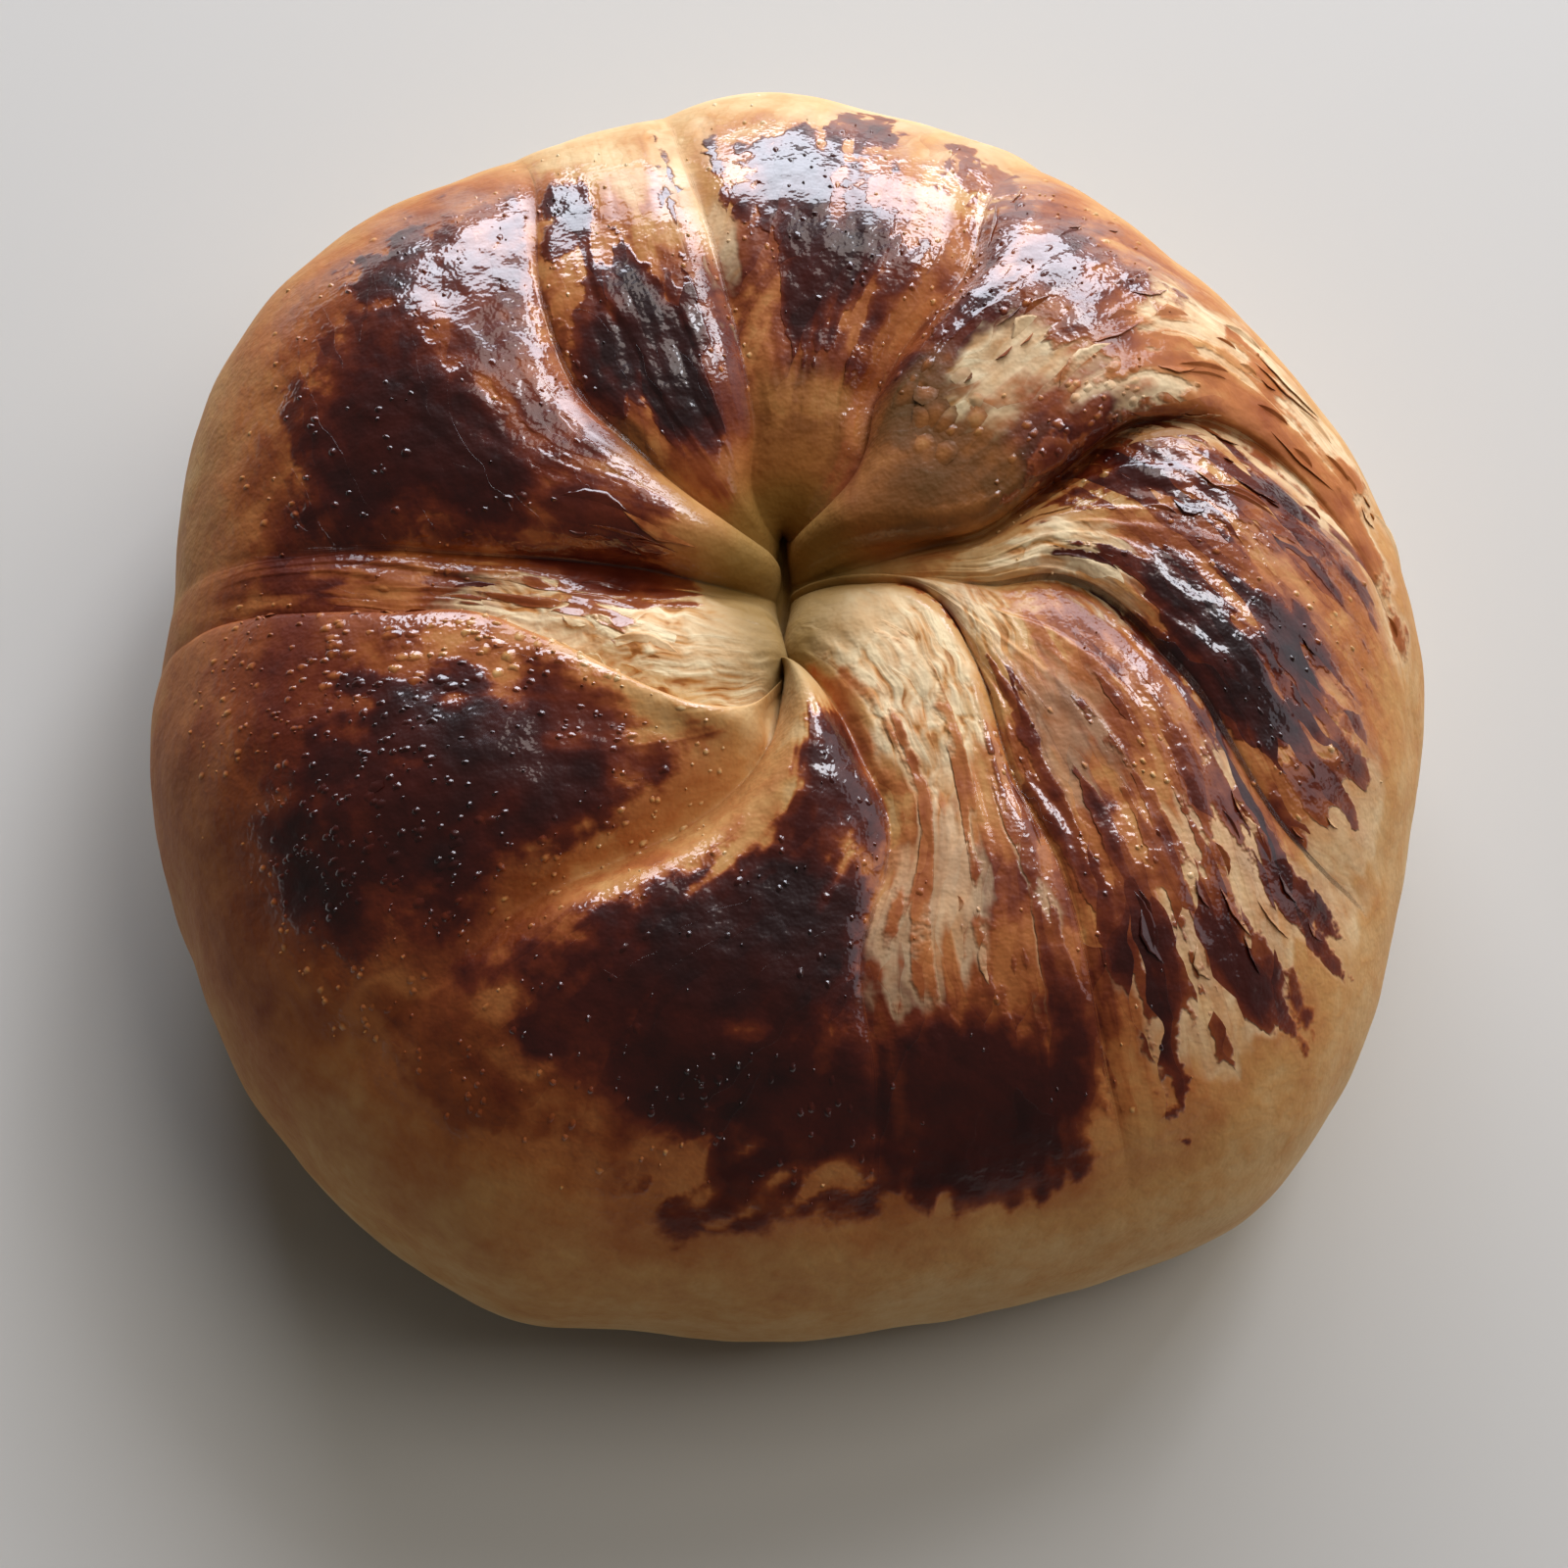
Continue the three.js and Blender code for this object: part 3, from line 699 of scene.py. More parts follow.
def folds(crust):
    """Height of the strands and the seams between them."""
    dome = (4 * crust.share * (1 - crust.share)) ** DOME_POWER
    first, last = (np.exp(-((distance - EDGE_INSET) / EDGE_WIDTH) ** 2)
                   for distance in (crust.from_first, crust.from_last))
    height = crust.left(EDGE_SHARES) * (crust.each("first") * first + crust.each("last") * last)
    for side, distance in ((crust.each, crust.from_first), (crust.following, crust.from_last)):
        inner, crest, outer = np.moveaxis(side("valley"), -1, 0)
        depth = inner + (crest - inner) * smooth(*VALLEY_TURNS[:2], crust.turn)
        depth += (outer - crest) * smooth(*VALLEY_TURNS[1:], crust.turn)
        height -= depth * np.exp(-(distance / side("valley_width")) ** 2)
    height += crust.each("puff") * dome
    return height * crust.left(FOLD_SHARES) + crust.each("bulge") * dome * crust.left(BULGE_SHARES)


def layers(crust):
    """Height of the flaky layers, as steps along the strands, and how light or dark each layer baked."""
    count = crust.each("layers")
    place = crust.share * count
    place = place + LAYER_SWAY * crust.layer_noise("sway", place)
    which = np.floor(place)
    shown = LAYER_COVER + LAYER_BREAKS * crust.layer_noise("cover", which)
    shown = np.clip(shown, 0, 1) * crust.left(LAYER_SHARES) * (count > 0)
    height = crust.each("layer") * shown * ((place - which) ** LAYER_CURVE - LAYER_MIDDLE)
    return height, shown * crust.layer_noise("tone", which)


def unevenness(crust):
    """Height of the lumps of the dough, and of the fine wrinkles along the strands."""
    lumps = crust.bumps("lumps") + crust.bumps("small lumps")
    bent = crust.strand * STRAND_WIDTH + crust.bumps("wrinkle bends")
    ridges = 1 - np.abs(marks("wrinkles", bent, crust.along, WRINKLE_SLICE))
    ridges += marks("fine wrinkles", bent, crust.along, WRINKLE_SLICE)
    wrinkled = np.clip(WRINKLE_COVER + crust.bumps("wrinkled parts"), 0, 1) * crust.left(LAYER_SHARES)
    return lumps * band(crust.turn, *LUMPY) + crust.each("wrinkle") * wrinkled * ridges


def crumples(crust, dryness):
    """Height of the crumples of torn dough, one at most."""
    across = crust.from_first + crust.bumps("crease bends")
    along = crust.along + crust.bumps("crease slides")
    creases = 1 - np.abs(marks("creases", across, along, crust.index)) + crust.bumps("crease heights")
    creases -= np.abs(marks("fine creases", across, along, crust.index))
    return dryness * smooth(*CRUMPLED, crust.turn) * creases


def curl(crust):
    """How far a strand's first edge hangs over its neighbour."""
    near = crust.from_first / CURL_INSET
    shown = crust.left(FOLD_SHARES) * smooth(*CURLED, crust.turn)
    return crust.each("curl") * near * np.exp(1 - near) * shown


def patches(crust, areas):
    """How deep in an area each point lies, in millimetres, and how strong, faded and ragged it is there."""
    warp, sway, streak = (Noise(seed) for seed in PATCH_SEEDS)
    strand, turn = crust.strand, crust.turn
    for wide, shift, across, along in PATCH_WARPS:
        strand = strand + across * warp.over(crust.base + shift, wide)
        turn = turn + along * sway.over(crust.base + shift, wide)
    across = crust.strand * STRAND_WIDTH
    streaks = sum(streak(across / wide, crust.along / long, wide) for wide, long in PATCH_STREAKS)
    half = len(STRANDS) / 2
    depth = np.full(turn.shape, DEPTH_RANGE[0])
    total, weights = 0.0, 1e-6
    for area in areas.values():
        across = np.abs((strand - area.strand + half) % len(STRANDS) - half) / area.half_width
        along = np.abs(turn - area.turn) / area.half_length
        far = (across ** PATCH_POWER + along ** PATCH_POWER) ** (1 / PATCH_POWER)
        narrow = min(area.half_width * STRAND_WIDTH, area.half_length * TURN_LENGTH)
        inside = (1 - far) * narrow + area.broken * STREAK_CUT * np.minimum(streaks, STREAK_MOST)
        depth = np.maximum(depth, inside)
        weight = np.exp(np.clip(inside, *WEIGHT_RANGE))
        total = total + weight[..., None] * (area.strength, area.fade, area.ragged)
        weights = weights + weight
    return np.clip(depth, *DEPTH_RANGE), *np.moveaxis(total / weights[..., None], -1, 0)


def browning(crust, tone):
    """How far the plain crust is baked, from 0, cream, to 1, black, with the painted shade and sheen that
    some strands' browning holds.
    """
    own = np.array([np.interp(crust.turn[0], BAKE_TURNS, strand.bake) for strand in STRANDS])
    here = np.floor(crust.strand - 0.5).astype(int)
    blend = smooth(*BAKE_BLEND, crust.strand - 0.5 - here)
    rows = np.arange(crust.turn.shape[1])
    low, high = own[here % len(STRANDS), rows], own[(here + 1) % len(STRANDS), rows]
    return low + (high - low) * blend + LAYER_TONE * tone


def fields(crust, tone):
    """What the crust's material, blisters and flakes read at every grid point."""
    turn, drawn_out = crust.turn, crust.each("layered")
    glaze, char, fade, edge = patches(crust, GLAZE)
    torn, dry, *_ = patches(crust, TORN)
    shed, flaky, *_ = patches(crust, FLAKING)
    spotted, clear, *_ = patches(crust, SPOTTED)
    risen, large, *_ = patches(crust, BUBBLES)
    inner, shade_strength, *_ = patches(crust, SHADED_SLOPES)
    whole = 1 - dry * smooth(*TORN_EDGE, torn)
    brushed = smooth(*WASH_EDGE, glaze) * smooth(*WASH_CHAR, char)
    wet = np.maximum(BARE_GLOSS * band(turn, *GLOSSY) * whole, brushed) * smooth(*GLOSSY[1], turn)
    clusters = np.clip(BLISTER_COVER + crust.bumps("blister clusters"), *BLISTER_LIMITS)
    blister = crust.each("blistered") * clusters * band(turn, *BLISTERED)
    layered = drawn_out * band(turn, *LAYERED)
    flecked = smooth(*FLECKED, turn) * (LEAST_FLECKED + (1 - LEAST_FLECKED) * smooth(*MOST_FLECKED, turn))
    flecked *= np.clip(FLECK_COVER + crust.bumps("fleck clusters"), *FLECK_LIMITS)
    washed = (LEAST_WASHED + (1 - LEAST_WASHED) * np.minimum(2 * drawn_out, 1)) * band(turn, *WASHED)
    blots = marks("bare spots", crust.from_first, crust.along, crust.index)
    streak, fine_streak = (marks(name, crust.from_first, crust.along, crust.index)
                           for name in ("streaks", "fine streaks"))
    mottle = Noise(MOTTLE_SEED)
    bubbly = smooth(*PATCH_EDGE, risen)
    along = crust.along + crust.bumps("pattern slides")
    across = crust.from_first + crust.bumps("pattern bends") + 2 * STRAND_WIDTH * crust.index
    return {
        "bake": browning(crust, tone) + GLAZE_GLOW * smooth(*GLOW_EDGE, glaze),
        "glaze": glaze,
        "char": char,
        "fade": fade,
        "edge": edge,
        "torn": torn,
        "dry": dry,
        "wet": wet,
        # Painted shade deep in the hole and on slopes turned from the window
        "hollow": np.maximum(smooth(*HOLE_SHADE, turn), shade_strength * smooth(*SHADED_EDGE, inner)),
        "layered": layered,
        "washed": washed,
        "flecked": flecked,
        "mottle": sum(size / MOTTLE_SOFTNESS * mottle.over(crust.base, size) for size in MOTTLE_SIZES),
        "spots": clear * smooth(*SPOTTED_EDGE, spotted) * smooth(*SPOT_EDGE, blots),
        "streak": (streak + fine_streak) * layered,
        "blister": np.maximum(blister * whole, BUBBLE_COVER / large * bubbly),
        "swell": crust.each("swell") * (1 - bubbly) + large * bubbly,
        "flaky": flaky * smooth(*PATCH_EDGE, shed),
        "strand_mm": np.stack([along, across, 0 * along], -1),
    }


def closed(grid, ring):
    """Points and faces of a solid under the grid, with a base, a point in the slit and one in the pucker."""
    base = []
    for part in BASE_PARTS:
        spot = grid[:, -1] * part
        inward = 1 - np.minimum(np.hypot(spot[:, 0], spot[:, 1]) / PUCKER_RADIUS, 1) ** 2
        spot[:, 2] = PUCKER_DEPTH * inward ** 2
        base.append(spot)
    rows = np.concatenate([grid, np.stack(base, 1)], 1)
    columns, count = rows.shape[:2]
    ends = [[0, SLIT_OFFSET, ring.slit_height - SLIT_FLOOR_DROP], [0, 0, PUCKER_DEPTH]]
    points = np.concatenate([rows.reshape(-1, 3), ends])
    points[:, :2] -= ((points.min(0) + points.max(0)) / 2)[:2]
    slit, pucker = columns * count, columns * count + 1
    faces = []
    for column in range(columns):
        here, there = column * count, (column + 1) % columns * count
        faces += [(here + r, here + r + 1, there + r + 1, there + r) for r in range(count - 1)]
        faces += [(slit, here, there), (pucker, there + count - 1, here + count - 1)]
    return points, faces


def mesh_object(name, points, faces, material):
    """An object in the scene with a smooth mesh."""
    mesh = bpy.data.meshes.new(name)
    mesh.from_pydata(points, [], faces)
    mesh.validate()
    mesh.shade_smooth()
    mesh.materials.append(material)
    piece = bpy.data.objects.new(name, mesh)
    bpy.context.scene.collection.objects.link(piece)
    return piece


def store(mesh, name, values):
    """Keeps a number or a vector at each point of a mesh."""
    kind, slot = ("FLOAT_VECTOR", "vector") if values.ndim > 1 else ("FLOAT", "value")
    mesh.attributes.new(name, kind, "POINT").data.foreach_set(slot, values.astype(np.float32).ravel())


def node(tree, kind, settings=None, inputs=None):
    """Adds a node with its settings. Each input is a value, or another node's output to link."""
    new = tree.nodes.new(kind)
    for name, value in (settings or {}).items():
        setattr(new, name, value)
    for key, value in (inputs or {}).items():
        if isinstance(value, bpy.types.NodeSocket):
            tree.links.new(value, new.inputs[key])
        else:
            new.inputs[key].default_value = value
    return new


def crust_material(colours):
    """Egg-washed crust. The wash bakes to a dark, glassy glaze with ragged edges that catches the light in
    sharp glints, bare crust to satin gold, and the torn dough stays dull and cream."""
    material = bpy.data.materials.new("Baked dough crust, egg-washed")
    material.use_nodes = True
    tree = material.node_tree
    shader = tree.nodes["Principled BSDF"]
    known = {}
    for name in CRUST_ATTRIBUTES:
        known[name] = node(tree, "ShaderNodeAttribute", {"attribute_name": name}).outputs["Fac"]
    strands = node(tree, "ShaderNodeAttribute", {"attribute_name": "strand_mm"}).outputs["Vector"]
    spaces = {"bun": (node(tree, "ShaderNodeTexCoord").outputs["Object"], MM), "strands": (strands, 1.0)}
    for name, space, size, kind, output, settings, inputs in CRUST_PATTERNS:
        vector, millimetre = spaces[space]
        scale = [1 / (side * millimetre) for side in size]
        scaled = node(tree, "ShaderNodeMapping", {}, {"Vector": vector, "Scale": scale}).outputs[0]
        pattern = node(tree, kind, settings, {"Vector": scaled, "Scale": 1.0, **inputs}).outputs[output]
        known[name] = node(tree, "ShaderNodeMath", {"operation": "SUBTRACT"}, {0: pattern, 1: 0.5}).outputs[0]
    for name, start, *moves in CRUST_STEPS:
        value = known.get(start, start)
        for move in moves:
            rows = [("MULTIPLY_ADD", *term) for term in move.items()] if isinstance(move, dict) else [move]
            for operation, *terms in rows:
                terms = [known.get(term, term) for term in terms]
                inputs = dict(enumerate([*terms, value] if operation == "MULTIPLY_ADD" else [value, *terms]))
                if operation in ("LINEAR", "SMOOTHSTEP"):
                    made = node(tree, "ShaderNodeMapRange", {"interpolation_type": operation}, inputs)
                else:
                    made = node(tree, "ShaderNodeMath", {"operation": operation}, inputs)
                value = made.outputs[0]
        known[name] = value

    baked = node(tree, "ShaderNodeMix", {},
                 {"Factor": known["glazed"], "A": known["plain"], "B": known["dark"]})
    ramp = node(tree, "ShaderNodeValToRGB", {}, {"Fac": baked.outputs[0]})
    stops = ramp.color_ramp.elements
    while len(stops) < len(BAKE_STOPS):
        stops.new(0.5)
    for stop, (at, tone) in zip(stops, BAKE_STOPS):
        stop.position = at
        stop.color = getattr(colours, tone)
    skins = {tone: getattr(colours, tone) for tone in ("dough", "toasted_and_shaded", "flake_edge", "painted_shade")}
    skins["crust"] = ramp.outputs["Color"]
    # The toasted mix holds painted shade in the gaps, and the last mix paints the olive shade in the hole and
    # on shaded slopes
    for under, over, share in (("dough", "toasted_and_shaded", "toast"), ("dough", "flake_edge", "thin"),
                               ("crust", "dough", "flaked"), ("crust", "painted_shade", "damp")):
        inputs = {0: known[share], 6: skins[under], 7: skins[over]}
        skins[under] = node(tree, "ShaderNodeMix", {"data_type": "RGBA"}, inputs).outputs[2]

    bump = node(tree, "ShaderNodeBump", {}, {"Distance": MM, "Height": known["relief"]}).outputs[0]
    for socket, output in (("Base Color", skins["crust"]), ("Coat Weight", known["gloss"]),
                           ("Roughness", known["roughness"]), ("Normal", bump), ("Coat Normal", bump)):
        tree.links.new(output, shader.inputs[socket])
    for socket, value in CRUST_FINISH.items():
        shader.inputs[socket].default_value = value
    return material


def floor_material(colours):
    """Matte painted board. It spreads the light evenly, so that shadows lie soft on it and nothing glares."""
    material = bpy.data.materials.new("Pale matte studio floor")
    material.use_nodes = True
    shader = material.node_tree.nodes["Principled BSDF"]
    shader.inputs["Base Color"].default_value = colours.floor
    shader.inputs["Roughness"].default_value = 0.8
    return material


def scatter_tree(name, density, lying):
    """A node tree that scatters shapes over the crust, as densely as an attribute says. Shapes that are lying
    follow the crust and lift off it by their own attribute, and the others swell by the crust's."""
    tree = bpy.data.node_groups.new(name, "GeometryNodeTree")
    for label, kind in (SCATTER_INPUTS + LYING_INPUTS) if lying else SCATTER_INPUTS:
        tree.interface.new_socket(label, in_out="INPUT", socket_type="NodeSocket" + kind)
    tree.interface.new_socket("Geometry", in_out="OUTPUT", socket_type="NodeSocketGeometry")
    given = node(tree, "NodeGroupInput").outputs
    crust, seed = given["Geometry"], given["Seed"]
    times = {"operation": "MULTIPLY"}
    read = {}
    for label in (density, "flow", *(("torn", "lift") if lying else ("swell",))):
        kind = {"data_type": "FLOAT_VECTOR" if label == "flow" else "FLOAT"}
        read[label] = node(tree, "GeometryNodeInputNamedAttribute", kind, {"Name": label}).outputs[0]

    # Places, and for lying shapes how far each is torn
    amount = node(tree, "ShaderNodeMath", times, {0: given["Density"], 1: read[density]})
    points = node(tree, "GeometryNodeDistributePointsOnFaces", {"distribute_method": "RANDOM"},
                  {"Mesh": crust, "Density": amount.outputs[0], "Seed": seed})
    places = points.outputs["Points"]
    if lying:
        least, most = FLAKE_TEARING
        chance = node(tree, "FunctionNodeRandomValue", {"data_type": "FLOAT"},
                      {2: least, 3: most, "Seed": seed})
        tearing = node(tree, "ShaderNodeMath", {"operation": "ADD"}, {0: read["torn"], 1: chance.outputs[1]})
        places = node(tree, "GeometryNodeStoreNamedAttribute", {"data_type": "FLOAT"},
                      {"Geometry": places, "Name": "torn", "Value": tearing.outputs[0]}).outputs[0]

    # Turned along the strands, and tilted a little
    turned = node(tree, "FunctionNodeAxesToRotation", {"primary_axis": "Z", "secondary_axis": "X"},
                  {"Primary Axis": points.outputs["Normal"], "Secondary Axis": read["flow"]})
    back = node(tree, "ShaderNodeMath", times, {0: given["Tilt"], 1: -1.0})
    lows, highs = (node(tree, "ShaderNodeCombineXYZ", {}, dict.fromkeys("XYZ", side)).outputs[0]
                   for side in (back.outputs[0], given["Tilt"]))
    tilt = node(tree, "FunctionNodeRandomValue", {"data_type": "FLOAT_VECTOR"},
                {0: lows, 1: highs, "Seed": seed})
    tilted = node(tree, "FunctionNodeRotateEuler", {"rotation_type": "EULER", "space": "LOCAL"},
                  {"Rotation": turned.outputs[0], "Rotate By": tilt.outputs[0]})

    # Sizes, with more small shapes than large ones
    size = node(tree, "FunctionNodeRandomValue", {"data_type": "FLOAT_VECTOR"},
                {0: given["Smallest"], 1: given["Largest"], "Seed": seed})
    draw = node(tree, "FunctionNodeRandomValue", {"data_type": "FLOAT"},
                {2: SMALLEST_DRAW, 3: 1.0, "Seed": seed})
    wide = node(tree, "ShaderNodeMath", {"operation": "POWER"}, {0: draw.outputs[1], 1: DRAW_POWER})
    if not lying:
        wide = node(tree, "ShaderNodeMath", times, {0: wide.outputs[0], 1: read["swell"]})
    widths = node(tree, "ShaderNodeCombineXYZ", {}, {"X": wide.outputs[0], "Y": wide.outputs[0], "Z": 1.0})
    sized = node(tree, "ShaderNodeVectorMath", times, {0: size.outputs[0], 1: widths.outputs[0]})
    shapes = node(tree, "GeometryNodeCollectionInfo", {},
                  {"Collection": given["Shapes"], "Separate Children": True})
    placed = node(tree, "GeometryNodeInstanceOnPoints", {},
                  {"Points": places, "Instance": shapes.outputs[0], "Pick Instance": True,
                   "Rotation": tilted.outputs[0], "Scale": sized.outputs[0]})
    real = node(tree, "GeometryNodeRealizeInstances", {}, {"Geometry": placed.outputs[0]})

    # Laid on the crust, and lifted off it more where it flakes more
    if lying:
        under = node(tree, "GeometryNodeProximity", {"target_element": "FACES"}, {0: crust})
        outward = node(tree, "GeometryNodeSampleNearestSurface", {"data_type": "FLOAT_VECTOR"},
                       {"Mesh": crust, "Value": node(tree, "GeometryNodeInputNormal").outputs[0]})
        highest = node(tree, "ShaderNodeMath", times, {0: read[density], 1: given["Lift"]})
        rise = node(tree, "ShaderNodeMath", times, {0: read["lift"], 1: highest.outputs[0]})
        raised = node(tree, "ShaderNodeVectorMath", {"operation": "SCALE"},
                      {0: outward.outputs[0], "Scale": rise.outputs[0]})
        spot = node(tree, "ShaderNodeVectorMath", {"operation": "ADD"},
                    {0: under.outputs["Position"], 1: raised.outputs[0]})
        real = node(tree, "GeometryNodeSetPosition", {},
                    {"Geometry": real.outputs[0], "Position": spot.outputs[0]})
    dressed = node(tree, "GeometryNodeSetMaterial", {},
                   {"Geometry": real.outputs[0], "Material": given["Material"]})
    node(tree, "NodeGroupOutput", {}, {"Geometry": dressed.outputs[0]})
    return tree


def scatter(name, tree, shapes, **inputs):
    """A plain mesh piece of shapes scattered over the crust."""
    crust = bpy.data.objects["crust"]
    library = bpy.data.collections.new(name + " shapes")
    for shape in shapes:
        library.objects.link(shape)
    carrier = crust.copy()
    bpy.context.scene.collection.objects.link(carrier)
    modifier = carrier.modifiers.new(name, "NODES")
    modifier.node_group = tree
    inputs.update(Shapes=library, Material=crust.data.materials[0])
    for socket in tree.interface.items_tree:
        if socket.in_out == "INPUT" and socket.name in inputs:
            modifier[socket.identifier] = inputs[socket.name]
    graph = bpy.context.evaluated_depsgraph_get()
    mesh = bpy.data.meshes.new_from_object(carrier.evaluated_get(graph), depsgraph=graph)
    mesh.shade_smooth()
    bpy.data.objects.remove(carrier)
    for shape in shapes:
        bpy.data.objects.remove(shape)
    bpy.data.collections.remove(library)
    piece = bpy.data.objects.new(name, mesh)
    bpy.context.scene.collection.objects.link(piece)
    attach(piece, "root")


def blister_shape(seed):
    """A low, uneven bell with a foot that runs out into the crust, about one from its middle to its rim."""
    uneven = np.random.default_rng(seed).uniform(*BLISTER_UNEVEN, BLISTER_SIDES)
    n = len(uneven)
    around = np.linspace(0, 2 * np.pi, n, endpoint=False)
    points = [(r * k * math.cos(a), r * k * math.sin(a), z)
              for r, z in BLISTER_RINGS for a, k in zip(around, uneven)]
    top = len(points)
    points.append((0, 0, BLISTER_TOP))
    faces = [(k * n + i, k * n + (i + 1) % n, (k + 1) * n + (i + 1) % n, (k + 1) * n + i)
             for k in range(len(BLISTER_RINGS) - 1) for i in range(n)]
    faces += [(top - n + i, top - n + (i + 1) % n, top) for i in range(n)]
    faces.append(tuple(reversed(range(n))))
    mesh = bpy.data.meshes.new("blister")
    mesh.from_pydata(points, [], faces)
    # A sharp edge round the flat underside, so that it doesn't darken the foot
    foot = mesh.attributes.new("sharp_edge", "BOOLEAN", "EDGE")
    foot.data.foreach_set("value", [max(edge.vertices) < n for edge in mesh.edges])
    store(mesh, "dome", np.clip(np.array(points)[:, 2] / BLISTER_PALE, 0, 1))
    return bpy.data.objects.new("blister", mesh)


def flake_shape(seed):
    """A flat leaf, one long and one wide, that keeps at each point how far it lifts off the crust."""
    draw = np.random.default_rng(seed)
    rows, lines = FLAKE_ROWS, FLAKE_LINES
    long, wide = np.meshgrid(np.linspace(-0.5, 0.5, rows), np.linspace(0, 1, lines), indexing="ij")
    ragged = 1 + FLAKE_RAGGED * draw.uniform(-1, 1, (rows, 1)) * wide
    outline = (FLAKE_TIP - np.abs(2 * long) ** FLAKE_TAPER) * ragged
    bow = draw.uniform(-FLAKE_BOW, FLAKE_BOW) * (1 - 4 * long ** 2)
    leaf = np.stack([long, wide * outline + bow, 0 * long], -1).reshape(-1, 3)
    held = np.abs(2 * long) ** FLAKE_HOLD
    lift = (draw.uniform(*FLAKE_LIFTS) * wide ** FLAKE_RISE * (1 - held) - FLAKE_SINK).ravel()
    thickness = FLAKE_THICKNESS * np.minimum(1, 2 * wide + FLAKE_THIN).ravel()
    upper = np.arange(rows * lines).reshape(rows, lines)
    lower = upper + rows * lines
    faces = []
    for i in range(rows - 1):
        for j in range(lines - 1):
            corners = ((i, j), (i + 1, j), (i + 1, j + 1), (i, j + 1))
            faces.append([upper[corner] for corner in corners])
            faces.append([lower[corner] for corner in (corners[0], *corners[:0:-1])])
    rim = [(i, 0) for i in range(rows)] + [(rows - 1, j) for j in range(1, lines)]
    rim += [(i, lines - 1) for i in range(rows - 2, -1, -1)] + [(0, j) for j in range(lines - 2, 0, -1)]
    faces += [(upper[b], upper[a], lower[a], lower[b]) for a, b in zip(rim, rim[1:] + rim[:1])]
    points = np.concatenate([leaf, leaf])
    if seed % 2:
        points[:, :2] *= -1
    mesh = bpy.data.meshes.new("flake")
    mesh.from_pydata(points, [], faces)
    store(mesh, "lift", np.concatenate([lift + thickness, lift]))
    return bpy.data.objects.new("flake", mesh)


class ACMA_OT_flakes(bpy.types.Operator):
    """Make the flakes that lift off the torn layers"""

    bl_idname = "acma.flakes"
    bl_label = "Flakes"

    def execute(self, context):
        sizes = context.scene.acma_sizes
        tree = scatter_tree("Flakes", "flaky", lying=True)
        scatter("flakes", tree, [flake_shape(seed) for seed in range(FLAKE_KINDS)],
                Density=sizes.flake_density, Smallest=Vector(sizes.flake_smallest),
                Largest=Vector(sizes.flake_largest), Tilt=FLAKE_TILT, Lift=sizes.flake_lift, Seed=FLAKE_SEED)
        return {"FINISHED"}


class ACMA_OT_blisters(bpy.types.Operator):
    """Make the blisters of the glaze"""

    bl_idname = "acma.blisters"
    bl_label = "Blisters"

    def execute(self, context):
        sizes = context.scene.acma_sizes
        tree = scatter_tree("Blisters", "blister", lying=False)
        scatter("blisters", tree, [blister_shape(seed) for seed in range(BLISTER_KINDS)],
                Density=sizes.blister_density, Smallest=Vector(sizes.blister_smallest),
                Largest=Vector(sizes.blister_largest), Tilt=BLISTER_TILT, Seed=BLISTER_SEED)
        return {"FINISHED"}


class ACMA_OT_crust(bpy.types.Operator):
    """Make the crust of the bun"""

    bl_idname = "acma.crust"
    bl_label = "Crust"

    def execute(self, context):
        sizes = context.scene.acma_sizes
        ring = Ring(sizes)
        crust = Crust(ring)
        steps, tone = layers(crust)
        values = fields(crust, tone)
        dryness = values["dry"] * smooth(*TORN_EDGE, values["torn"])
        height = folds(crust) + steps * (1 - TORN_FLATTENING * dryness) + unevenness(crust)
        height += sizes.crumple / MM * crumples(crust, dryness)
        grid = crust.base + crust.normal * height[..., None] - crust.round * curl(crust)[..., None]
        values["flow"] = unit(np.gradient(grid, axis=1))
        points, faces = closed(grid, ring)
        piece = mesh_object("crust", points * MM, faces, crust_material(context.scene.acma_colours))
        for name, value in values.items():
            tail = np.repeat(value[:, -1:], len(BASE_PARTS), axis=1)
            full = np.concatenate([value, tail], 1).reshape(-1, *value.shape[2:])
            store(piece.data, name, np.concatenate([full, value[:1, 0], value[:1, -1]]))
        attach(piece, "root")
        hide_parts("bun")
        return {"FINISHED"}


def area_light(name, energy, size, tint, place, aim_height):
    """A rectangular light that is turned towards the bun."""
    light = bpy.data.lights.new(name, "AREA")
    light.shape = "RECTANGLE"
    light.size, light.size_y = size
    light.energy = energy
    light.color = linear(tint)[:3]
    lamp = bpy.data.objects.new(name, light)
    bpy.context.scene.collection.objects.link(lamp)
    lamp.location = place
    lamp.rotation_euler = (Vector((0, 0, aim_height)) - Vector(place)).to_track_quat("-Z", "Y").to_euler()
    return lamp


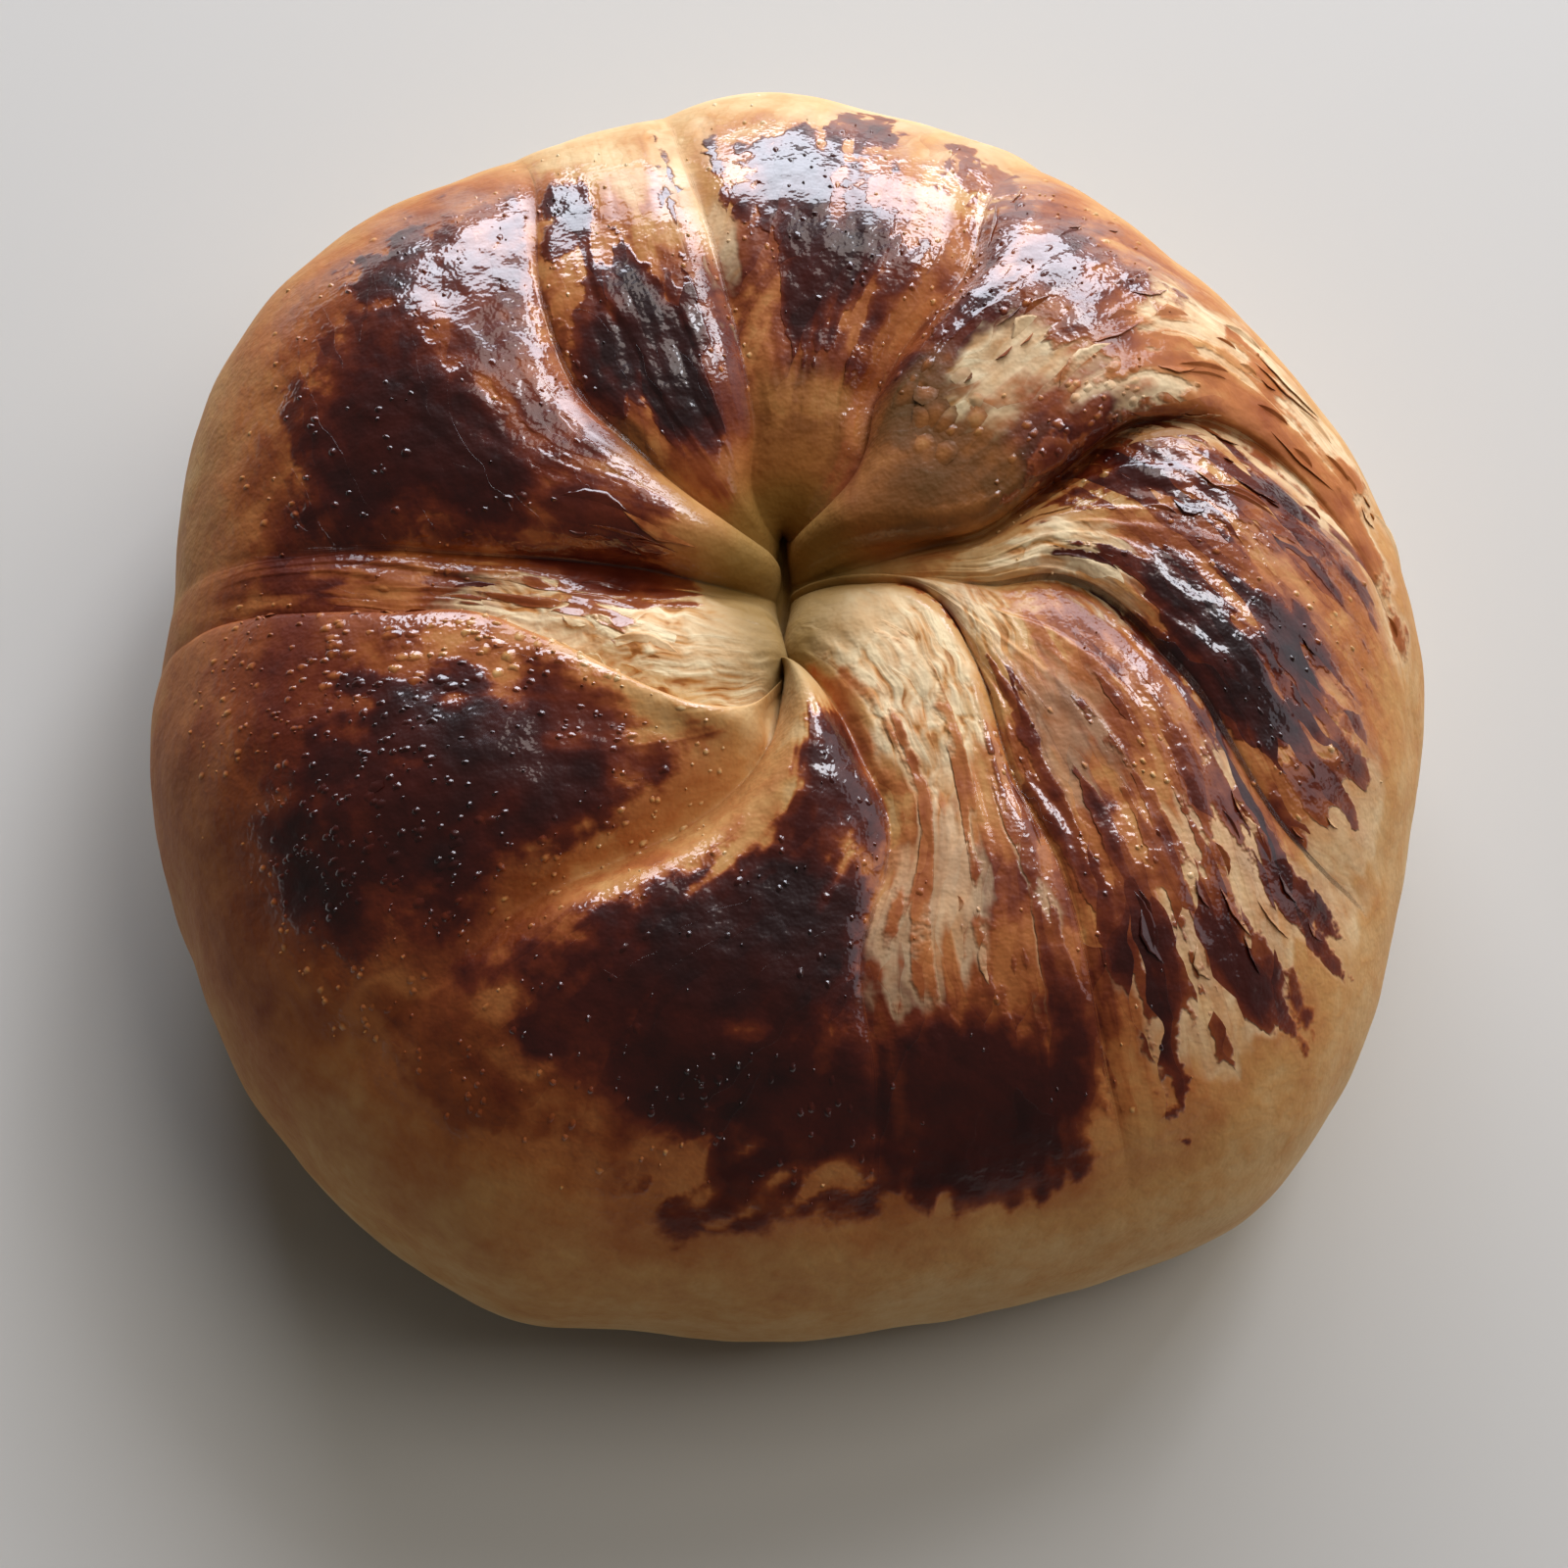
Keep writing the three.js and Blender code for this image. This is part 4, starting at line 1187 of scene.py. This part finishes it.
class ACMA_OT_stage(bpy.types.Operator):
    """Make the floor, the lights and the camera"""

    bl_idname = "acma.stage"
    bl_label = "Stage"

    def execute(self, context):
        stage = context.scene.acma_stage
        corners = [(x * FLOOR_REACH, y * FLOOR_REACH, 0) for x, y in ((-1, -1), (1, -1), (1, 1), (-1, 1))]
        floor = mesh_object("floor", corners, [(0, 1, 2, 3)], floor_material(context.scene.acma_colours))
        for name, glossy, *light in LIGHTS:
            lamp = area_light(name.replace("_", " "), getattr(stage, name), *light)
            lamp.visible_glossy = glossy
        world = bpy.data.worlds.new("room")
        context.scene.world = world
        world.use_nodes = True
        world.node_tree.nodes["Background"].inputs["Color"].default_value = ROOM_LIGHT
        camera = bpy.data.cameras.new("camera")
        camera.lens = camera.sensor_width * stage.camera_distance / stage.frame_width
        view = bpy.data.objects.new("camera", camera)
        context.scene.collection.objects.link(view)
        rise = stage.camera_rise
        away = Vector((0, -math.cos(rise), math.sin(rise)))
        view.location = Vector(CAMERA_AIM) * MM + away * stage.camera_distance
        view.rotation_euler = (math.radians(90) - rise, 0, 0)
        context.scene.camera = view
        context.scene.view_settings.view_transform = "Standard"
        return {"FINISHED"}


SETTINGS = {"acma_sizes": AcmaSizes, "acma_colours": AcmaColours, "acma_stage": AcmaStage}
OPERATORS = (ACMA_OT_crust, ACMA_OT_blisters, ACMA_OT_flakes, ACMA_OT_stage)


class ACMA_PT_sidebar(bpy.types.Panel):
    """Settings of the bun, and the operators that make it"""

    bl_idname = "ACMA_PT_sidebar"
    bl_label = "Acma ring bun"
    bl_space_type = "VIEW_3D"
    bl_region_type = "UI"
    bl_category = "Acma"

    def draw(self, context):
        for name, group in SETTINGS.items():
            box = self.layout.box()
            for setting in group.__annotations__:
                box.prop(getattr(context.scene, name), setting)
        for operator in OPERATORS:
            self.layout.operator(operator.bl_idname)


CLASSES = (*SETTINGS.values(), *OPERATORS, ACMA_PT_sidebar)


def register():
    for each in CLASSES:
        bpy.utils.register_class(each)
    for name, group in SETTINGS.items():
        setattr(bpy.types.Scene, name, PointerProperty(type=group))


def unregister():
    for name in SETTINGS:
        delattr(bpy.types.Scene, name)
    for each in reversed(CLASSES):
        bpy.utils.unregister_class(each)


def main():
    register()
    bpy.ops.acma.crust()
    bpy.ops.acma.blisters()
    bpy.ops.acma.flakes()
    bpy.ops.acma.stage()


if __name__ == "__main__":
    main()
